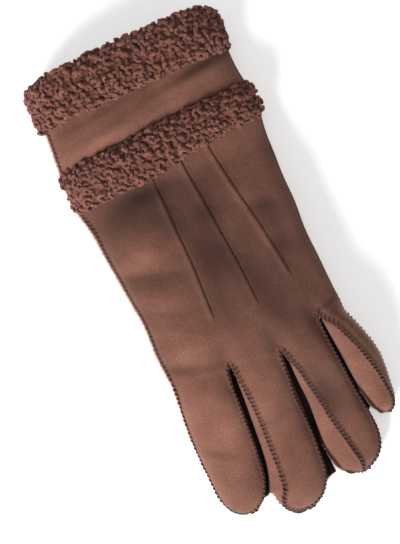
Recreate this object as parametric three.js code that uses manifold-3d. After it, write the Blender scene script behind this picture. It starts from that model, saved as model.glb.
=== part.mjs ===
// A winter glove for the left hand, lying on its palm with the back of the hand up. Millimetres, +Z up.
// The suede shell is sewn from a back, a palm, a thumb and three fourchettes: the side strips between the
// fingers.
// A fleece band runs round the mouth and a second one crosses the back at the wrist.
// Every piece is one sheet: an outer face, the same face one wall further in, and a rim that joins them.
// Places on the hand are read as `along`, the way from the mouth to the fingertips, and `across`, from 0 at
// the index side to 1 at the little-finger side. In the model x runs across and the fingertips point to -Y.
import * as THREE from "three";
import { mergeVertices } from "three/addons/utils/BufferGeometryUtils.js";
import Module from "manifold-3d";

// Lengths from the mouth to the fingertips
const CUFF_TRIM_LENGTH = 25.5;
const CUFF_PANEL_LENGTH = 23.5;
const WRIST_TRIM_LENGTH = 24;
const HAND_LENGTH = 112;
const MIDDLE_LENGTH = 93.5;
const INDEX_LENGTH = 82;
const RING_LENGTH = 87;
const LITTLE_LENGTH = 62;

// Widths at the knuckles, which add up to the width of the hand, and the width of the sleeve
const INDEX_WIDTH = 33.5;
const MIDDLE_WIDTH = 29;
const RING_WIDTH = 26.5;
const LITTLE_WIDTH = 14.5;
const SLEEVE_WIDTH = 112;

// Heights
const HAND_DEPTH = 21;
const FINGER_DEPTH = 17.5;
const LITTLE_DEPTH = 20;
const THUMB_DEPTH = 12;

// Cloth and fleece
const WALL = 2.5;
const PILE = 6;
const LOCK_HEIGHT = 1.4;
const LOCK_PITCH = 7;
const MOUTH_ROUND = 4;
const SLIT = 3;
const SEAM = 0.3;
const PRESSED = 0.5;

// The three raised points on the back, as distances from the index-side seam at the wrist
const POINT_1 = 44;
const POINT_2 = 62;
const POINT_3 = 79;
const POINT_HEIGHT = 1.4;
const POINT_LENGTH = 86;
const POINT_FADE = 8;

// The thumb and its oval hole in the palm
const THUMB_LENGTH = 93;
const THUMB_WIDTH = 33;
const THUMB_HOLE_LENGTH = 72;
const THUMB_HOLE_WIDTH = 32;
const THUMB_FROM_SIDE = 32;
const THUMB_ALONG = 118;
const THUMB_TURN = THREE.MathUtils.degToRad(20);

// Sums and places that follow from the sizes above
const WRIST_START = CUFF_TRIM_LENGTH + CUFF_PANEL_LENGTH;
const BACK_START = WRIST_START + WRIST_TRIM_LENGTH;
const KNUCKLES = BACK_START + HAND_LENGTH;
const HAND_WIDTH = INDEX_WIDTH + MIDDLE_WIDTH + RING_WIDTH + LITTLE_WIDTH;
const PALM_LIFT = THUMB_DEPTH + 2 * SEAM - PRESSED;
const LEFT = 0;
const RIGHT = 1;
const TOP = 1;
const BOTTOM = -1;

// Four fingers. Each is a tube whose seams sit at these angles: 0 degrees on the little-finger side and 90
// on top.
const FINGERS = [
  { length: INDEX_LENGTH, width: INDEX_WIDTH, depth: FINGER_DEPTH, top: [180, 20], bottom: [180, 335] },
  { length: MIDDLE_LENGTH, width: MIDDLE_WIDTH, depth: FINGER_DEPTH, top: [125, 20], bottom: [205, 335] },
  { length: RING_LENGTH, width: RING_WIDTH, depth: FINGER_DEPTH, top: [125, 20], bottom: [205, 335] },
  { length: LITTLE_LENGTH, width: LITTLE_WIDTH, depth: LITTLE_DEPTH, top: [85, -12], bottom: [205, 348] },
];

// Five lines divide the hand lengthwise: its two edges and the three lines that end in the finger crotches.
// `crotch` is how far the line's end lies past the knuckles, as a share of the middle finger.
const LINES = [
  { wrist: 0, crotch: -0.02 },
  { wrist: POINT_1 / SLEEVE_WIDTH, crotch: 0.01 },
  { wrist: POINT_2 / SLEEVE_WIDTH, crotch: 0.06 },
  { wrist: POINT_3 / SLEEVE_WIDTH, crotch: -0.07 },
  { wrist: 1, crotch: -0.09 },
];

// The hand from the mouth (at 0) to the knuckles (at 1). The width goes from the sleeve's to the hand's own,
// `swell` adds a share of it, `shift` moves the middle, `rise` lifts the palm onto the thumb, and `depth` is
// a share of the hand's depth.
const HAND = [
  { at: 0.0, sleeve: 1.0, swell: -0.01, shift: -0.01, rise: 0.0, depth: 1.0 },
  { at: 0.16, sleeve: 1.0, swell: -0.01, shift: -0.01, rise: 0.0, depth: 0.98 },
  { at: 0.31, sleeve: 1.0, swell: 0.018, shift: -0.016, rise: 0.02, depth: 0.96 },
  { at: 0.43, sleeve: 0.9, swell: 0.0, shift: -0.02, rise: 0.15, depth: 0.86 },
  { at: 0.5, sleeve: 0.6, swell: 0.0, shift: -0.014, rise: 0.4, depth: 0.86 },
  { at: 0.6, sleeve: 0.3, swell: -0.008, shift: -0.008, rise: 0.85, depth: 0.95 },
  { at: 0.73, sleeve: 0.0, swell: -0.01, shift: 0.0, rise: 1.0, depth: 1.0 },
  { at: 0.85, sleeve: 0.0, swell: -0.018, shift: 0.0, rise: 1.0, depth: 0.98 },
  { at: 1.0, sleeve: 0.0, swell: 0.0, shift: 0.0, rise: 1.0, depth: 0.89 },
];

// The fingers from the knuckles (at 0) to the middle fingertip (at 1): how high they lie as a share of the
// palm's lift, how thick they are, and how far the five lines drift sideways, as shares of the middle
// finger's length.
const REACH = [
  { at: 0.0, lift: 1.0, depth: 1.06, line0: 0, line1: 0, line2: 0, line3: 0, line4: 0 },
  { at: 0.14, lift: 0.98, depth: 1.03, line0: -0.014, line1: -0.02, line2: 0.0, line3: 0.01, line4: 0.051 },
  { at: 0.28, lift: 0.75, depth: 1, line0: -0.03, line1: -0.029, line2: -0.003, line3: 0.019, line4: 0.079 },
  { at: 0.42, lift: 0.32, depth: 1, line0: -0.036, line1: -0.041, line2: -0.003, line3: 0.032, line4: 0.083 },
  { at: 0.56, lift: 0.04, depth: 1, line0: -0.041, line1: -0.055, line2: -0.011, line3: 0.047, line4: 0.075 },
  { at: 0.7, lift: 0.0, depth: 1, line0: -0.044, line1: -0.074, line2: -0.021, line3: 0.058, line4: 0.066 },
  { at: 0.84, lift: 0.0, depth: 0.98, line0: -0.046, line1: -0.1, line2: -0.034, line3: 0.05, line4: 0.06 },
  { at: 1.0, lift: 0.0, depth: 0.95, line0: -0.048, line1: -0.12, line2: -0.06, line3: 0.03, line4: 0.055 },
];

// How wide the three slits stand open on the way to the fingertips, as shares of SLIT
const OPENING = [
  { at: 0.0, slit1: 1.0, slit2: 0.5, slit3: 0.5 },
  { at: 0.2, slit1: 1.1, slit2: 1.0, slit3: 0.6 },
  { at: 0.4, slit1: 0.95, slit2: 1.4, slit3: 0.7 },
  { at: 0.6, slit1: 0.9, slit2: 1.3, slit3: 0.5 },
  { at: 0.8, slit1: 0.5, slit2: 1.2, slit3: 0.5 },
  { at: 1.0, slit1: 0.5, slit2: 1.5, slit3: 0.5 },
];

// Soft folds and dents of the back: centre as shares along the hand and across it, half length and half
// width as shares of the hand's width, height as a share of its depth, and the turn of the long side from
// the glove's axis.
const FOLDS = [
  { name: "wrist valley", at: 0.46, across: 0.45, length: 0.09, width: 0.6, height: -0.09, turn: 0 },
  { name: "swell below the wrist", at: 0.6, across: 0.25, length: 0.12, width: 0.2, height: 0.07, turn: 20 },
  { name: "dip between points", at: 0.7, across: 0.46, length: 0.3, width: 0.06, height: -0.05, turn: 4 },
  { name: "dip past point 3", at: 0.68, across: 0.86, length: 0.2, width: 0.07, height: -0.06, turn: -10 },
  { name: "swell, outer side", at: 0.56, across: 0.84, length: 0.1, width: 0.12, height: 0.06, turn: 15 },
  { name: "crease over the cuff", at: 0.2, across: 0.35, length: 0.05, width: 0.3, height: -0.05, turn: 8 },
  { name: "knuckle swell", at: 0.92, across: 0.5, length: 0.1, width: 0.34, height: 0.05, turn: 0 },
];

// The thumb's rings. Its upper side starts at the hole's far end and its lower side at the near end, so the
// rings swing from lying in the palm to standing across the thumb. `upper` and `lower` are shares of
// THUMB_LENGTH from the middle of the hole, `sink` is how far the lower side has gone down to the floor, and
// `width` is a share of THUMB_WIDTH.
const THUMB_RINGS = [
  { upper: 0.385, lower: -0.375, sink: 0.3, width: 0.98 },
  { upper: 0.4, lower: -0.33, sink: 0.68, width: 0.99 },
  { upper: 0.42, lower: -0.22, sink: 0.96, width: 1.0 },
  { upper: 0.45, lower: -0.05, sink: 1.0, width: 1.0 },
  { upper: 0.5, lower: 0.16, sink: 1.0, width: 1.0 },
  { upper: 0.57, lower: 0.38, sink: 1.0, width: 1.0 },
  { upper: 0.66, lower: 0.57, sink: 1.0, width: 0.99 },
  { upper: 0.76, lower: 0.73, sink: 1.0, width: 0.96 },
];
// Past the last ring the thumb closes in these shares of the way to its tip. Two rows stand in its hole.
const THUMB_TIP_SHARES = [0.25, 0.5, 0.7, 0.85, 0.95];
const THUMB_SIDES = 20;
const THUMB_ROWS_IN_HOLE = 2;

// Where a finger's grid has its rows, as shares of the finger, and its columns, as shares of its width
const FINGER_ROWS = [0, 0.05, 0.12, 0.22, 0.34, 0.46, 0.58, 0.69, 0.79, 0.87, 0.93, 0.97, 0.99, 1];
const COLUMNS = [0, 0.09, 0.3, 0.5, 0.7, 0.91, 1];
const STRIP_COLUMNS = [0, 0.5, 1];
const FOURCHETTE_ROWS = 10;
const SEAMS_CLOSE_AT = 0.93;
const CROTCH_CLEARANCE = 2.2 * SEAM;

// A strip's clearance from its two seams at the crotch and at the tip, and where it widens on the way
const STRIP_CLEARANCE = { crotch: 1.3 * SEAM, tip: 3.4 * SEAM, from: 0.6, to: 0.9 };

// The valleys that run into the crotches, as shares of half the depth and of the middle finger's length, the
// length of a finger's round end as a share of its width, and how boxy a finger is: 1 is an ellipse
const VALLEY_DEPTH = 0.42;
const VALLEY_LENGTH = 0.34;
const TIP_ROUND = 0.85;
const FINGER_FULLNESS = 0.88;

// How much nearer the mouth the wrist band lies on the little-finger side than on the index side
const WRIST_LEAN = 6;

const lerp = THREE.MathUtils.lerp;
const smooth = (from, to, value) => THREE.MathUtils.smoothstep(value, from, to);

// One column of a table, read between its rows on a smooth curve.
function read(table, at, column) {
  const last = table.length - 1;
  let row = 0;
  while (row < last - 1 && at > table[row + 1].at) row += 1;
  const slope = (i) => {
    const before = table[Math.max(i - 1, 0)];
    const after = table[Math.min(i + 1, last)];
    return (after[column] - before[column]) / (after.at - before.at);
  };
  const [a, b] = [table[row], table[row + 1]];
  const span = b.at - a.at;
  const t = THREE.MathUtils.clamp((at - a.at) / span, 0, 1);
  const bend = t * t * (3 - 2 * t);
  const start = (t * (1 - t) * (1 - t)) * span * slope(row);
  const end = (t * t * (t - 1)) * span * slope(row + 1);
  return a[column] + bend * (b[column] - a[column]) + start + end;
}

// A sheet of cloth: corners with an outer and an inner place, shared by name, and the faces between them.
class Sheet {
  constructor() {
    this.outer = [];
    this.inner = [];
    this.faces = [];
    this.named = new Map();
  }

  corner(name, place) {
    if (!this.named.has(name)) {
      this.named.set(name, this.outer.length);
      this.outer.push(place(0));
      this.inner.push(place(WALL));
    }
    return this.named.get(name);
  }

  face(...corners) {
    const kept = corners.filter((c, i) => c !== corners[(i + 1) % corners.length]);
    for (let i = 1; i + 1 < kept.length; i += 1) this.faces.push([kept[0], kept[i], kept[i + 1]]);
  }

  // A grid of faces over rows and columns, where cornerAt(row, column) gives the corner's number.
  grid(rows, columns, cornerAt, flip = false) {
    for (let r = 0; r < rows; r += 1) {
      for (let c = 0; c < columns; c += 1) {
        const ring = [cornerAt(r, c), cornerAt(r + 1, c), cornerAt(r + 1, c + 1), cornerAt(r, c + 1)];
        this.face(...(flip ? ring.reverse() : ring));
      }
    }
  }

  // The closed solid: the outer faces, the inner faces turned round, and a rim along every free edge.
  solid() {
    const count = this.outer.length;
    const edges = new Set();
    const turned = this.faces.flatMap(([a, b, c]) => {
      [[a, b], [b, c], [c, a]].forEach(([p, q]) => edges.add(`${p}>${q}`));
      return [a, b, c, a + count, c + count, b + count];
    });
    for (const edge of edges) {
      const [p, q] = edge.split(">").map(Number);
      if (!edges.has(`${q}>${p}`)) turned.push(q, p, p + count, q, p + count, q + count);
    }
    const points = [...this.outer, ...this.inner];
    const geometry = new THREE.BufferGeometry().setFromPoints(points);
    geometry.setIndex(turned);
    return geometry;
  }
}

// The model's place of a point of the hand: fingertips to -Y, the hand's middle on x = 0.
const place = (x, along, z) => new THREE.Vector3(x, -along, z);

// Height of the hand's rounded top and of its flatter underside, as shares of half the depth.
function roundness(across, side) {
  const off = Math.min(1, Math.abs(2 * across - 1));
  return side === TOP ? Math.pow(1 - Math.pow(off, 2.8), 1 / 2.2) : Math.sqrt(1 - Math.pow(off, 4));
}

// The section of the hand at one place along it.
function handSection(along) {
  const at = along / KNUCKLES;
  const width = lerp(HAND_WIDTH, SLEEVE_WIDTH, read(HAND, at, "sleeve")) * (1 + read(HAND, at, "swell"));
  const depth = HAND_DEPTH * read(HAND, at, "depth");
  const floor = lerp(PILE - PRESSED, PALM_LIFT, read(HAND, at, "rise"));
  return { middle: HAND_WIDTH * read(HAND, at, "shift"), half: width / 2, low: floor, depth };
}

// How far the folds lift the back.
function foldHeight(along, across) {
  return FOLDS.reduce((sum, fold) => {
    const turn = THREE.MathUtils.degToRad(fold.turn);
    const dx = (across - fold.across) * HAND_WIDTH;
    const dy = along - fold.at * KNUCKLES;
    const length = (dy * Math.cos(turn) + dx * Math.sin(turn)) / (fold.length * HAND_WIDTH);
    const width = (dx * Math.cos(turn) - dy * Math.sin(turn)) / (fold.width * HAND_WIDTH);
    return sum + fold.height * HAND_DEPTH * Math.exp(-length * length - width * width);
  }, 0);
}

// Line k of the five at one place along the hand, as a share across it.
function lineAcross(k, along) {
  const knuckleShare = FINGERS.slice(0, k).reduce((sum, finger) => sum + finger.width, 0) / HAND_WIDTH;
  const way = THREE.MathUtils.clamp((along - BACK_START) / HAND_LENGTH, 0, 1);
  return lerp(LINES[k].wrist, knuckleShare, way);
}

const crotchAlong = (k) => KNUCKLES + LINES[k].crotch * MIDDLE_LENGTH;

// How much of the valley between two fingers is felt at a share across finger k.
function valley(k, share) {
  const beside = share < 0.5 ? k > 0 : k < FINGERS.length - 1;
  return beside ? Math.pow(Math.abs(2 * share - 1), 3) : 0;
}

// A point of the hand's surface. `out` is how far it lies outside the suede: negative inside the wall.
function handPoint({ along, across, side, out, finger, share, ridge = 0 }) {
  const section = handSection(along);
  const x = section.middle + (section.half + out) * (2 * across - 1);
  const valleyNow = smooth(-VALLEY_LENGTH * MIDDLE_LENGTH, 0, along - KNUCKLES) * valley(finger, share);
  const rise = roundness(across, side) - VALLEY_DEPTH * valleyNow;
  const folded = side === TOP ? foldHeight(along, across) * roundness(across, TOP) : 0;
  const middle = section.low + section.depth / 2;
  return place(x, along, middle + side * (section.depth / 2 + out) * rise + folded + ridge);
}

// The tube of finger k: its walls at one place along, with the neighbours' slit and its own round tip.
function fingerSection(k, along, inset) {
  const finger = FINGERS[k];
  const at = (along - KNUCKLES) / MIDDLE_LENGTH;
  const wall = (line, way) => {
    const knuckle = (lineAcross(line, KNUCKLES) - 0.5) * HAND_WIDTH;
    const x = knuckle + MIDDLE_LENGTH * read(REACH, at, `line${line}`);
    const isEdge = line === 0 || line === FINGERS.length;
    if (isEdge) return x + way * inset;
    const past = along - crotchAlong(line) + inset;
    const opening = (SLIT * read(OPENING, at, `slit${line}`)) / 2 + inset;
    return x + way * opening * smooth(0, SLIT, past);
  };
  const [left, right] = [wall(k, 1), wall(k + 1, -1)];
  const tip = KNUCKLES + finger.length - inset;
  const round = TIP_ROUND * finger.width;
  const into = THREE.MathUtils.clamp((along - (tip - round)) / round, 0, 1);
  const fade = Math.sqrt(1 - into ** 3);
  const low = (PALM_LIFT + PRESSED) * read(REACH, at, "lift") - PRESSED;
  const depth = finger.depth * read(REACH, at, "depth");
  const width = ((right - left) / 2) * fade;
  const height = (depth / 2 - inset) * fade;
  return { x: (left + right) / 2, width, z: low + depth / 2, height };
}

// The seam angle of finger k on one side, closing to the finger's side near the tip.
function seamAngle(k, side, hand, row) {
  const open = FINGERS[k][side === TOP ? "top" : "bottom"][hand];
  const closed = hand === LEFT ? 180 : side === TOP ? 0 : 360;
  const close = Math.pow(smooth(0.55, SEAMS_CLOSE_AT, row), 1.5);
  return THREE.MathUtils.degToRad(lerp(open, closed, close));
}

// A point on the tube of finger k at an angle round it.
function tubePoint(k, along, angle, inset) {
  const { x, width, z, height } = fingerSection(k, along, inset);
  const bow = (value) => Math.sign(value) * Math.pow(Math.abs(value), FINGER_FULLNESS);
  return place(x + width * bow(Math.cos(angle)), along, z + height * bow(Math.sin(angle)));
}

const fingerAlong = (k, line, row, inset) =>
  lerp(crotchAlong(line), KNUCKLES + FINGERS[k].length, row) - inset;
const crotchBlend = (row) => smooth(0, 0.2, row);

// A point of the flat, valleyed hand carried on past the crotch, which the finger's tube grows out of.
function webPoint(k, along, share, side, inset) {
  const { x, width, z, height } = fingerSection(k, along, inset);
  const across = lerp(lineAcross(k, KNUCKLES), lineAcross(k + 1, KNUCKLES), share);
  const rise = roundness(across, side) - VALLEY_DEPTH * valley(k, share);
  return place(x + width * (2 * share - 1), along, z + side * height * rise);
}

// A point of a panel on finger k: row 0 is the crotch line, row 1 the tip.
function panelPoint(k, row, share, side, inset) {
  const along = lerp(fingerAlong(k, k, row, inset), fingerAlong(k, k + 1, row, inset), share);
  const angle = lerp(seamAngle(k, side, LEFT, row), seamAngle(k, side, RIGHT, row), share);
  const web = webPoint(k, along, share, side, inset);
  return web.lerp(tubePoint(k, along, angle, inset), crotchBlend(row));
}

// The crotch end of line k on one side.
function crotchPoint(k, side, inset) {
  const along = crotchAlong(k) - inset;
  return handPoint({ along, across: lineAcross(k, along), side, out: -inset, finger: k, share: 0 });
}

// A panel's point moved half a seam away from the other panel, and pressed flat where it meets the floor.
function settle(point, side, inset) {
  point.z += side * (SEAM / 2);
  if (!inset) point.z = Math.max(point.z, 0);
  return point;
}

// A panel of the shell from `start` (a function of the share across) to the fingertips, or to the line `end`.
function panel(side, start, rows, ridgeAt = () => 0, end = null) {
  const sheet = new Sheet();
  const onHand = (k, c, r) => {
    const share = COLUMNS[c];
    const edge = share === 0 || share === 1;
    const name = edge ? `hand ${r} line ${k + share}` : `hand ${r} finger ${k} column ${c}`;
    return sheet.corner(name, (inset) => {
      const spot = (line) => {
        const from = start(LINES[line].wrist);
        const to = end ? end(LINES[line].wrist) : crotchAlong(line) - inset;
        const along = lerp(from, to, r / rows);
        return { along, across: lineAcross(line, along) };
      };
      const [a, b] = [spot(k), spot(k + 1)];
      const along = lerp(a.along, b.along, share);
      const across = lerp(a.across, b.across, share);
      const ridge = edge ? ridgeAt(k + share, along) : 0;
      const point = handPoint({ along, across, side, out: -inset, finger: k, share, ridge });
      return settle(point, side, inset);
    });
  };
  const onFinger = (k, c, r) => {
    const last = FINGER_ROWS.length - 1;
    if (r === 0) return onHand(k, c, rows);
    const name = r === last ? `tip ${k}` : `finger ${k} row ${r} column ${c}`;
    return sheet.corner(name, (inset) => {
      return settle(panelPoint(k, FINGER_ROWS[r], COLUMNS[c], side, inset), side, inset);
    });
  };
  const columns = COLUMNS.length - 1;
  const flipped = side === BOTTOM;
  FINGERS.forEach((finger, k) => {
    sheet.grid(rows, columns, (r, c) => onHand(k, c, r), flipped);
    if (!end) sheet.grid(FINGER_ROWS.length - 1, columns, (r, c) => onFinger(k, c, r), flipped);
  });
  return sheet.solid();
}

// The strip between fingers k - 1 and k: out along one finger, round the crotch and out along the next.
function fourchette(k) {
  const sheet = new Sheet();
  const last = FOURCHETTE_ROWS - 1;
  const spot = (r, c) => (inset) => {
    const share = STRIP_COLUMNS[c];
    const rowNumber = Math.abs(r - last);
    const [finger, hand] = r < last ? [k - 1, RIGHT] : [k, LEFT];
    const top = crotchPoint(k, TOP, inset);
    const bottom = crotchPoint(k, BOTTOM, inset);
    top.z -= CROTCH_CLEARANCE;
    bottom.z += CROTCH_CLEARANCE;
    if (rowNumber === 0) return top.lerp(bottom, share);
    const row = FINGER_ROWS[rowNumber];
    const along = fingerAlong(finger, k, row, inset);
    const { width, height } = fingerSection(finger, along, inset);
    const angles = [TOP, BOTTOM].map((side) => {
      const angle = seamAngle(finger, side, hand, row);
      const arc = Math.hypot(width * Math.sin(angle), height * Math.cos(angle));
      const wrapped = hand === RIGHT && side === BOTTOM ? angle - 2 * Math.PI : angle;
      const { crotch, tip, from, to } = STRIP_CLEARANCE;
      const clearance = lerp(crotch, tip, smooth(from, to, row));
      return wrapped + ((hand === RIGHT ? -side : side) * clearance) / Math.max(arc, 2);
    });
    const tube = tubePoint(finger, along, lerp(angles[0], angles[1], share), inset);
    const webTop = webPoint(finger, along, hand === RIGHT ? 1 : 0, TOP, inset);
    const webBottom = webPoint(finger, along, hand === RIGHT ? 1 : 0, BOTTOM, inset);
    webTop.z -= CROTCH_CLEARANCE;
    webBottom.z += CROTCH_CLEARANCE;
    return webTop.lerp(webBottom, share).lerp(tube, crotchBlend(row));
  };
  const cornerAt = (r, c) => sheet.corner(`${r} ${c}`, spot(r, c));
  sheet.grid(2 * last, STRIP_COLUMNS.length - 1, cornerAt, true);
  return sheet.solid();
}

// The thumb's oval hole: a point of its outline, as a place across and along.
function ovalPoint(angle, grow) {
  const far = (THUMB_HOLE_LENGTH / 2 + grow) * Math.sin(angle);
  const wide = (THUMB_HOLE_WIDTH / 2 + grow) * Math.cos(angle);
  return thumbPlace(far, wide);
}

// From the thumb's own axes, `far` along it and `wide` to its side, to the hand's.
function thumbPlace(far, wide) {
  const x = THUMB_FROM_SIDE - HAND_WIDTH / 2 + far * Math.sin(THUMB_TURN) + wide * Math.cos(THUMB_TURN);
  const along = THUMB_ALONG + far * Math.cos(THUMB_TURN) - wide * Math.sin(THUMB_TURN);
  return { x, along };
}

// The height of the palm's underside at a place, outside (out = 0) or inside the wall (out = -WALL).
function palmHeight(x, along, out) {
  const section = handSection(along);
  const across = ((x - section.middle) / (section.half + out) + 1) / 2;
  const rise = roundness(THREE.MathUtils.clamp(across, 0, 1), BOTTOM);
  return section.low + section.depth / 2 - (section.depth / 2 + out) * rise;
}

function thumb() {
  const sheet = new Sheet();
  const angleOf = (c) => ((c % THUMB_SIDES) / THUMB_SIDES) * 2 * Math.PI;
  const lastRing = THUMB_RINGS.at(-1);
  const middle = (THUMB_LENGTH * (lastRing.upper + lastRing.lower)) / 2;
  const highest = PALM_LIFT - SEAM;

  const inHole = (r, angle, inset) => {
    const { x, along } = ovalPoint(angle, -inset);
    const z = palmHeight(x, along, r === 0 ? -WALL : 0);
    return place(x, along, z - SEAM / 2);
  };
  const onRing = (ring, angle, inset) => {
    const up = (Math.sin(angle) + 1) / 2;
    const upper = THUMB_LENGTH * ring.upper - inset * (1 - ring.sink * 0.4);
    const lower = THUMB_LENGTH * ring.lower + inset;
    const far = lerp(lower, upper, up);
    const wide = (THUMB_WIDTH / 2 - inset) * ring.width * Math.cos(angle);
    const { x, along } = thumbPlace(far, wide);
    const [above, below] = [thumbPlace(upper, 0), thumbPlace(lower, 0)];
    const ceiling = Math.min(highest, palmHeight(above.x, above.along, 0) - SEAM);
    const top = ceiling - inset;
    const start = palmHeight(below.x, below.along, 0);
    const bottom = lerp(start, -PRESSED, ring.sink) + inset * ring.sink;
    return place(x, along, Math.max(lerp(bottom, top, up), inset));
  };
  const onTip = (r, angle, inset) => {
    const way = THUMB_TIP_SHARES[r] ?? 1;
    const size = Math.sqrt(1 - way * way);
    const far = lerp(middle, THUMB_LENGTH - inset, way);
    const wide = (THUMB_WIDTH / 2 - inset) * lastRing.width * size * Math.cos(angle);
    const { x, along } = thumbPlace(far, wide);
    const half = (highest + PRESSED) / 2 - inset;
    const z = highest - half - inset + half * Math.sqrt(1 - way ** 3) * Math.sin(angle);
    return place(x, along, Math.max(z, inset));
  };
  const tipRow = THUMB_ROWS_IN_HOLE + THUMB_RINGS.length;
  const lastRow = tipRow + THUMB_TIP_SHARES.length;
  const cornerAt = (r, c) => {
    const angle = angleOf(c);
    const name = r === lastRow ? "tip" : `${r} ${c % THUMB_SIDES}`;
    return sheet.corner(name, (inset) => {
      if (r < THUMB_ROWS_IN_HOLE) return inHole(r, angle, inset);
      if (r < tipRow) return onRing(THUMB_RINGS[r - THUMB_ROWS_IN_HOLE], angle, inset);
      return onTip(r - tipRow, angle, inset);
    });
  };
  sheet.grid(lastRow, THUMB_SIDES, cornerAt, true);
  return sheet.solid();
}

// The fleece: locks stand in staggered rows, fused to their backing, no two quite the same height.
const locksAlong = (length) => 2 * Math.round(length / LOCK_PITCH);

function lockHeight(row, column) {
  const stands = (row + column) % 2 === 0 ? 1 : -1;
  const wander = Math.sin(2.4 * row + 1.3 * column) * Math.cos(1.7 * column - 0.9 * row);
  return LOCK_HEIGHT * (0.75 * stands + 0.6 * wander);
}

// The pile's height over a band: full in the middle of the band and rolled in at both edges.
const pileHeight = (share) => PILE * (0.35 + 0.65 * Math.sqrt(Math.max(0, 1 - (2 * share - 1) ** 4)));

// The band round the mouth. It goes right round the sleeve, and is pressed flat where the glove lies on it.
function cuffTrim() {
  const sheet = new Sheet();
  const columns = 2 * locksAlong(SLEEVE_WIDTH + HAND_DEPTH);
  const rows = locksAlong(CUFF_TRIM_LENGTH);
  const spot = (r, c) => (inset) => {
    const share = r / rows;
    const along = lerp(0, CUFF_TRIM_LENGTH - SEAM, share);
    const round = (2 * (c % columns)) / columns;
    const side = round < 1 ? TOP : BOTTOM;
    const way = (1 - Math.cos(Math.PI * (round % 1))) / 2;
    const across = side === TOP ? way : 1 - way;
    const out = inset ? -WALL : pileHeight(share) + lockHeight(r, c % columns);
    const point = handPoint({ along, across, side, out, finger: 0, share: 0 });
    const corner = Math.abs(2 * across - 1) ** 6 * (1 - share);
    point.y -= MOUTH_ROUND * corner;
    if (!inset) point.z = Math.max(point.z, 0);
    return point;
  };
  sheet.grid(rows, columns, (r, c) => sheet.corner(`${r} ${c % columns}`, spot(r, c)));
  return sheet.solid();
}

// The band across the back at the wrist, caught in the seam on the index side, standing out on the other.
function wristTrim(start, end) {
  const sheet = new Sheet();
  const columns = locksAlong(SLEEVE_WIDTH);
  const rows = locksAlong(WRIST_TRIM_LENGTH);
  const spot = (r, c) => (inset) => {
    const across = (1 - Math.cos((Math.PI * c) / columns)) / 2;
    const share = r / rows;
    const along = lerp(start(across), end(across), share);
    const caught = lerp(0.25, 1, smooth(0, 0.08, across)) * lerp(1, 0.75, smooth(0.94, 1, across));
    const out = inset ? -WALL : (pileHeight(share) + lockHeight(r, c)) * caught;
    const point = handPoint({ along, across, side: TOP, out, finger: 0, share: 0 });
    point.z += SEAM / 2;
    return point;
  };
  sheet.grid(rows, columns, (r, c) => sheet.corner(`${r} ${c}`, spot(r, c)));
  return sheet.solid();
}

// A closed geometry as a solid that can be cut, and back.
const wasm = await Module();
wasm.setup();

function toSolid(geometry) {
  const merged = mergeVertices(geometry, 1e-4);
  return new wasm.Manifold(
    new wasm.Mesh({
      numProp: 3,
      vertProperties: merged.attributes.position.array,
      triVerts: new Uint32Array(merged.index.array),
    }),
  );
}

function toGeometry(solid) {
  const mesh = solid.getMesh();
  const geometry = new THREE.BufferGeometry();
  geometry.setAttribute("position", new THREE.BufferAttribute(mesh.vertProperties, 3));
  geometry.setIndex(new THREE.BufferAttribute(mesh.triVerts, 1));
  return geometry;
}

// The cutter for the thumb's hole: an oval post one seam wider than the thumb's collar.
function holeCutter() {
  const outline = [];
  for (let i = 0; i < 2 * THUMB_SIDES; i += 1) {
    const { x, along } = ovalPoint((i / THUMB_SIDES) * Math.PI, SEAM);
    outline.push(new THREE.Vector2(x, -along));
  }
  const depth = PALM_LIFT + HAND_DEPTH / 3;
  const post = new THREE.ExtrudeGeometry(new THREE.Shape(outline), { depth, bevelEnabled: false });
  post.deleteAttribute("normal");
  post.deleteAttribute("uv");
  return toSolid(post);
}

const pointRidge = (line, along) => {
  const end = BACK_START + POINT_LENGTH;
  const inner = line > 0 && line < FINGERS.length;
  return inner ? POINT_HEIGHT * (1 - smooth(end - POINT_FADE, end, along)) : 0;
};

// The edges of the bands across the back lean a little, as sewn.
const wristEdge = (share) => WRIST_START + WRIST_LEAN * (0.5 - share);
const backEdge = (share) => BACK_START - (WRIST_LEAN / 2) * Math.max(0, share - 0.5);
const before = (edge) => (share) => edge(share) - SEAM;

const palmHoled = toSolid(panel(BOTTOM, () => CUFF_TRIM_LENGTH, 15)).subtract(holeCutter());

const PIECES = {
  back_panel: panel(TOP, backEdge, 12, pointRidge),
  palm_panel: toGeometry(palmHoled),
  thumb: thumb(),
  fourchette_index_middle: fourchette(1),
  fourchette_middle_ring: fourchette(2),
  fourchette_ring_little: fourchette(3),
  cuff_panel: panel(TOP, () => CUFF_TRIM_LENGTH, 3, () => 0, before(wristEdge)),
  wrist_trim: wristTrim(wristEdge, before(backEdge)),
  cuff_trim: cuffTrim(),
};

const suede = new THREE.MeshStandardMaterial({ color: 0x7a5346, roughness: 0.95, metalness: 0 });
const fleece = new THREE.MeshStandardMaterial({ color: 0x5a362f, roughness: 1, metalness: 0 });

const glove = new THREE.Group();
for (const [name, geometry] of Object.entries(PIECES)) {
  const mesh = new THREE.Mesh(geometry, name.endsWith("trim") ? fleece : suede);
  mesh.name = name;
  glove.add(mesh);
}

// The origin is on the floor under the middle of the glove's box.
const box = new THREE.Box3().setFromObject(glove, true);
const centre = box.getCenter(new THREE.Vector3());
glove.position.set(-centre.x, -centre.y, -box.min.z);

export default glove;
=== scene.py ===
# %% [markdown]
# # A winter glove of brushed suede cloth with curly fleece
#
# This lesson dresses a plain, exact model of a left-hand glove with what a camera sees: cloth that rolls
# softly at its seams, thread that wraps every edge, and a curly pile. The plain model is already packed as a
# frame. It says where every piece lies, so each piece made here takes its place from the same sizes.
#
# The glove lies palm down. It is sewn from a back, a palm, a thumb and three fourchettes, which are the side
# strips between the fingers. Its edges are sewn with the wrong sides together, so each seam stands outside
# as a small double lip, and whip stitches wrap round that lip.

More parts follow.
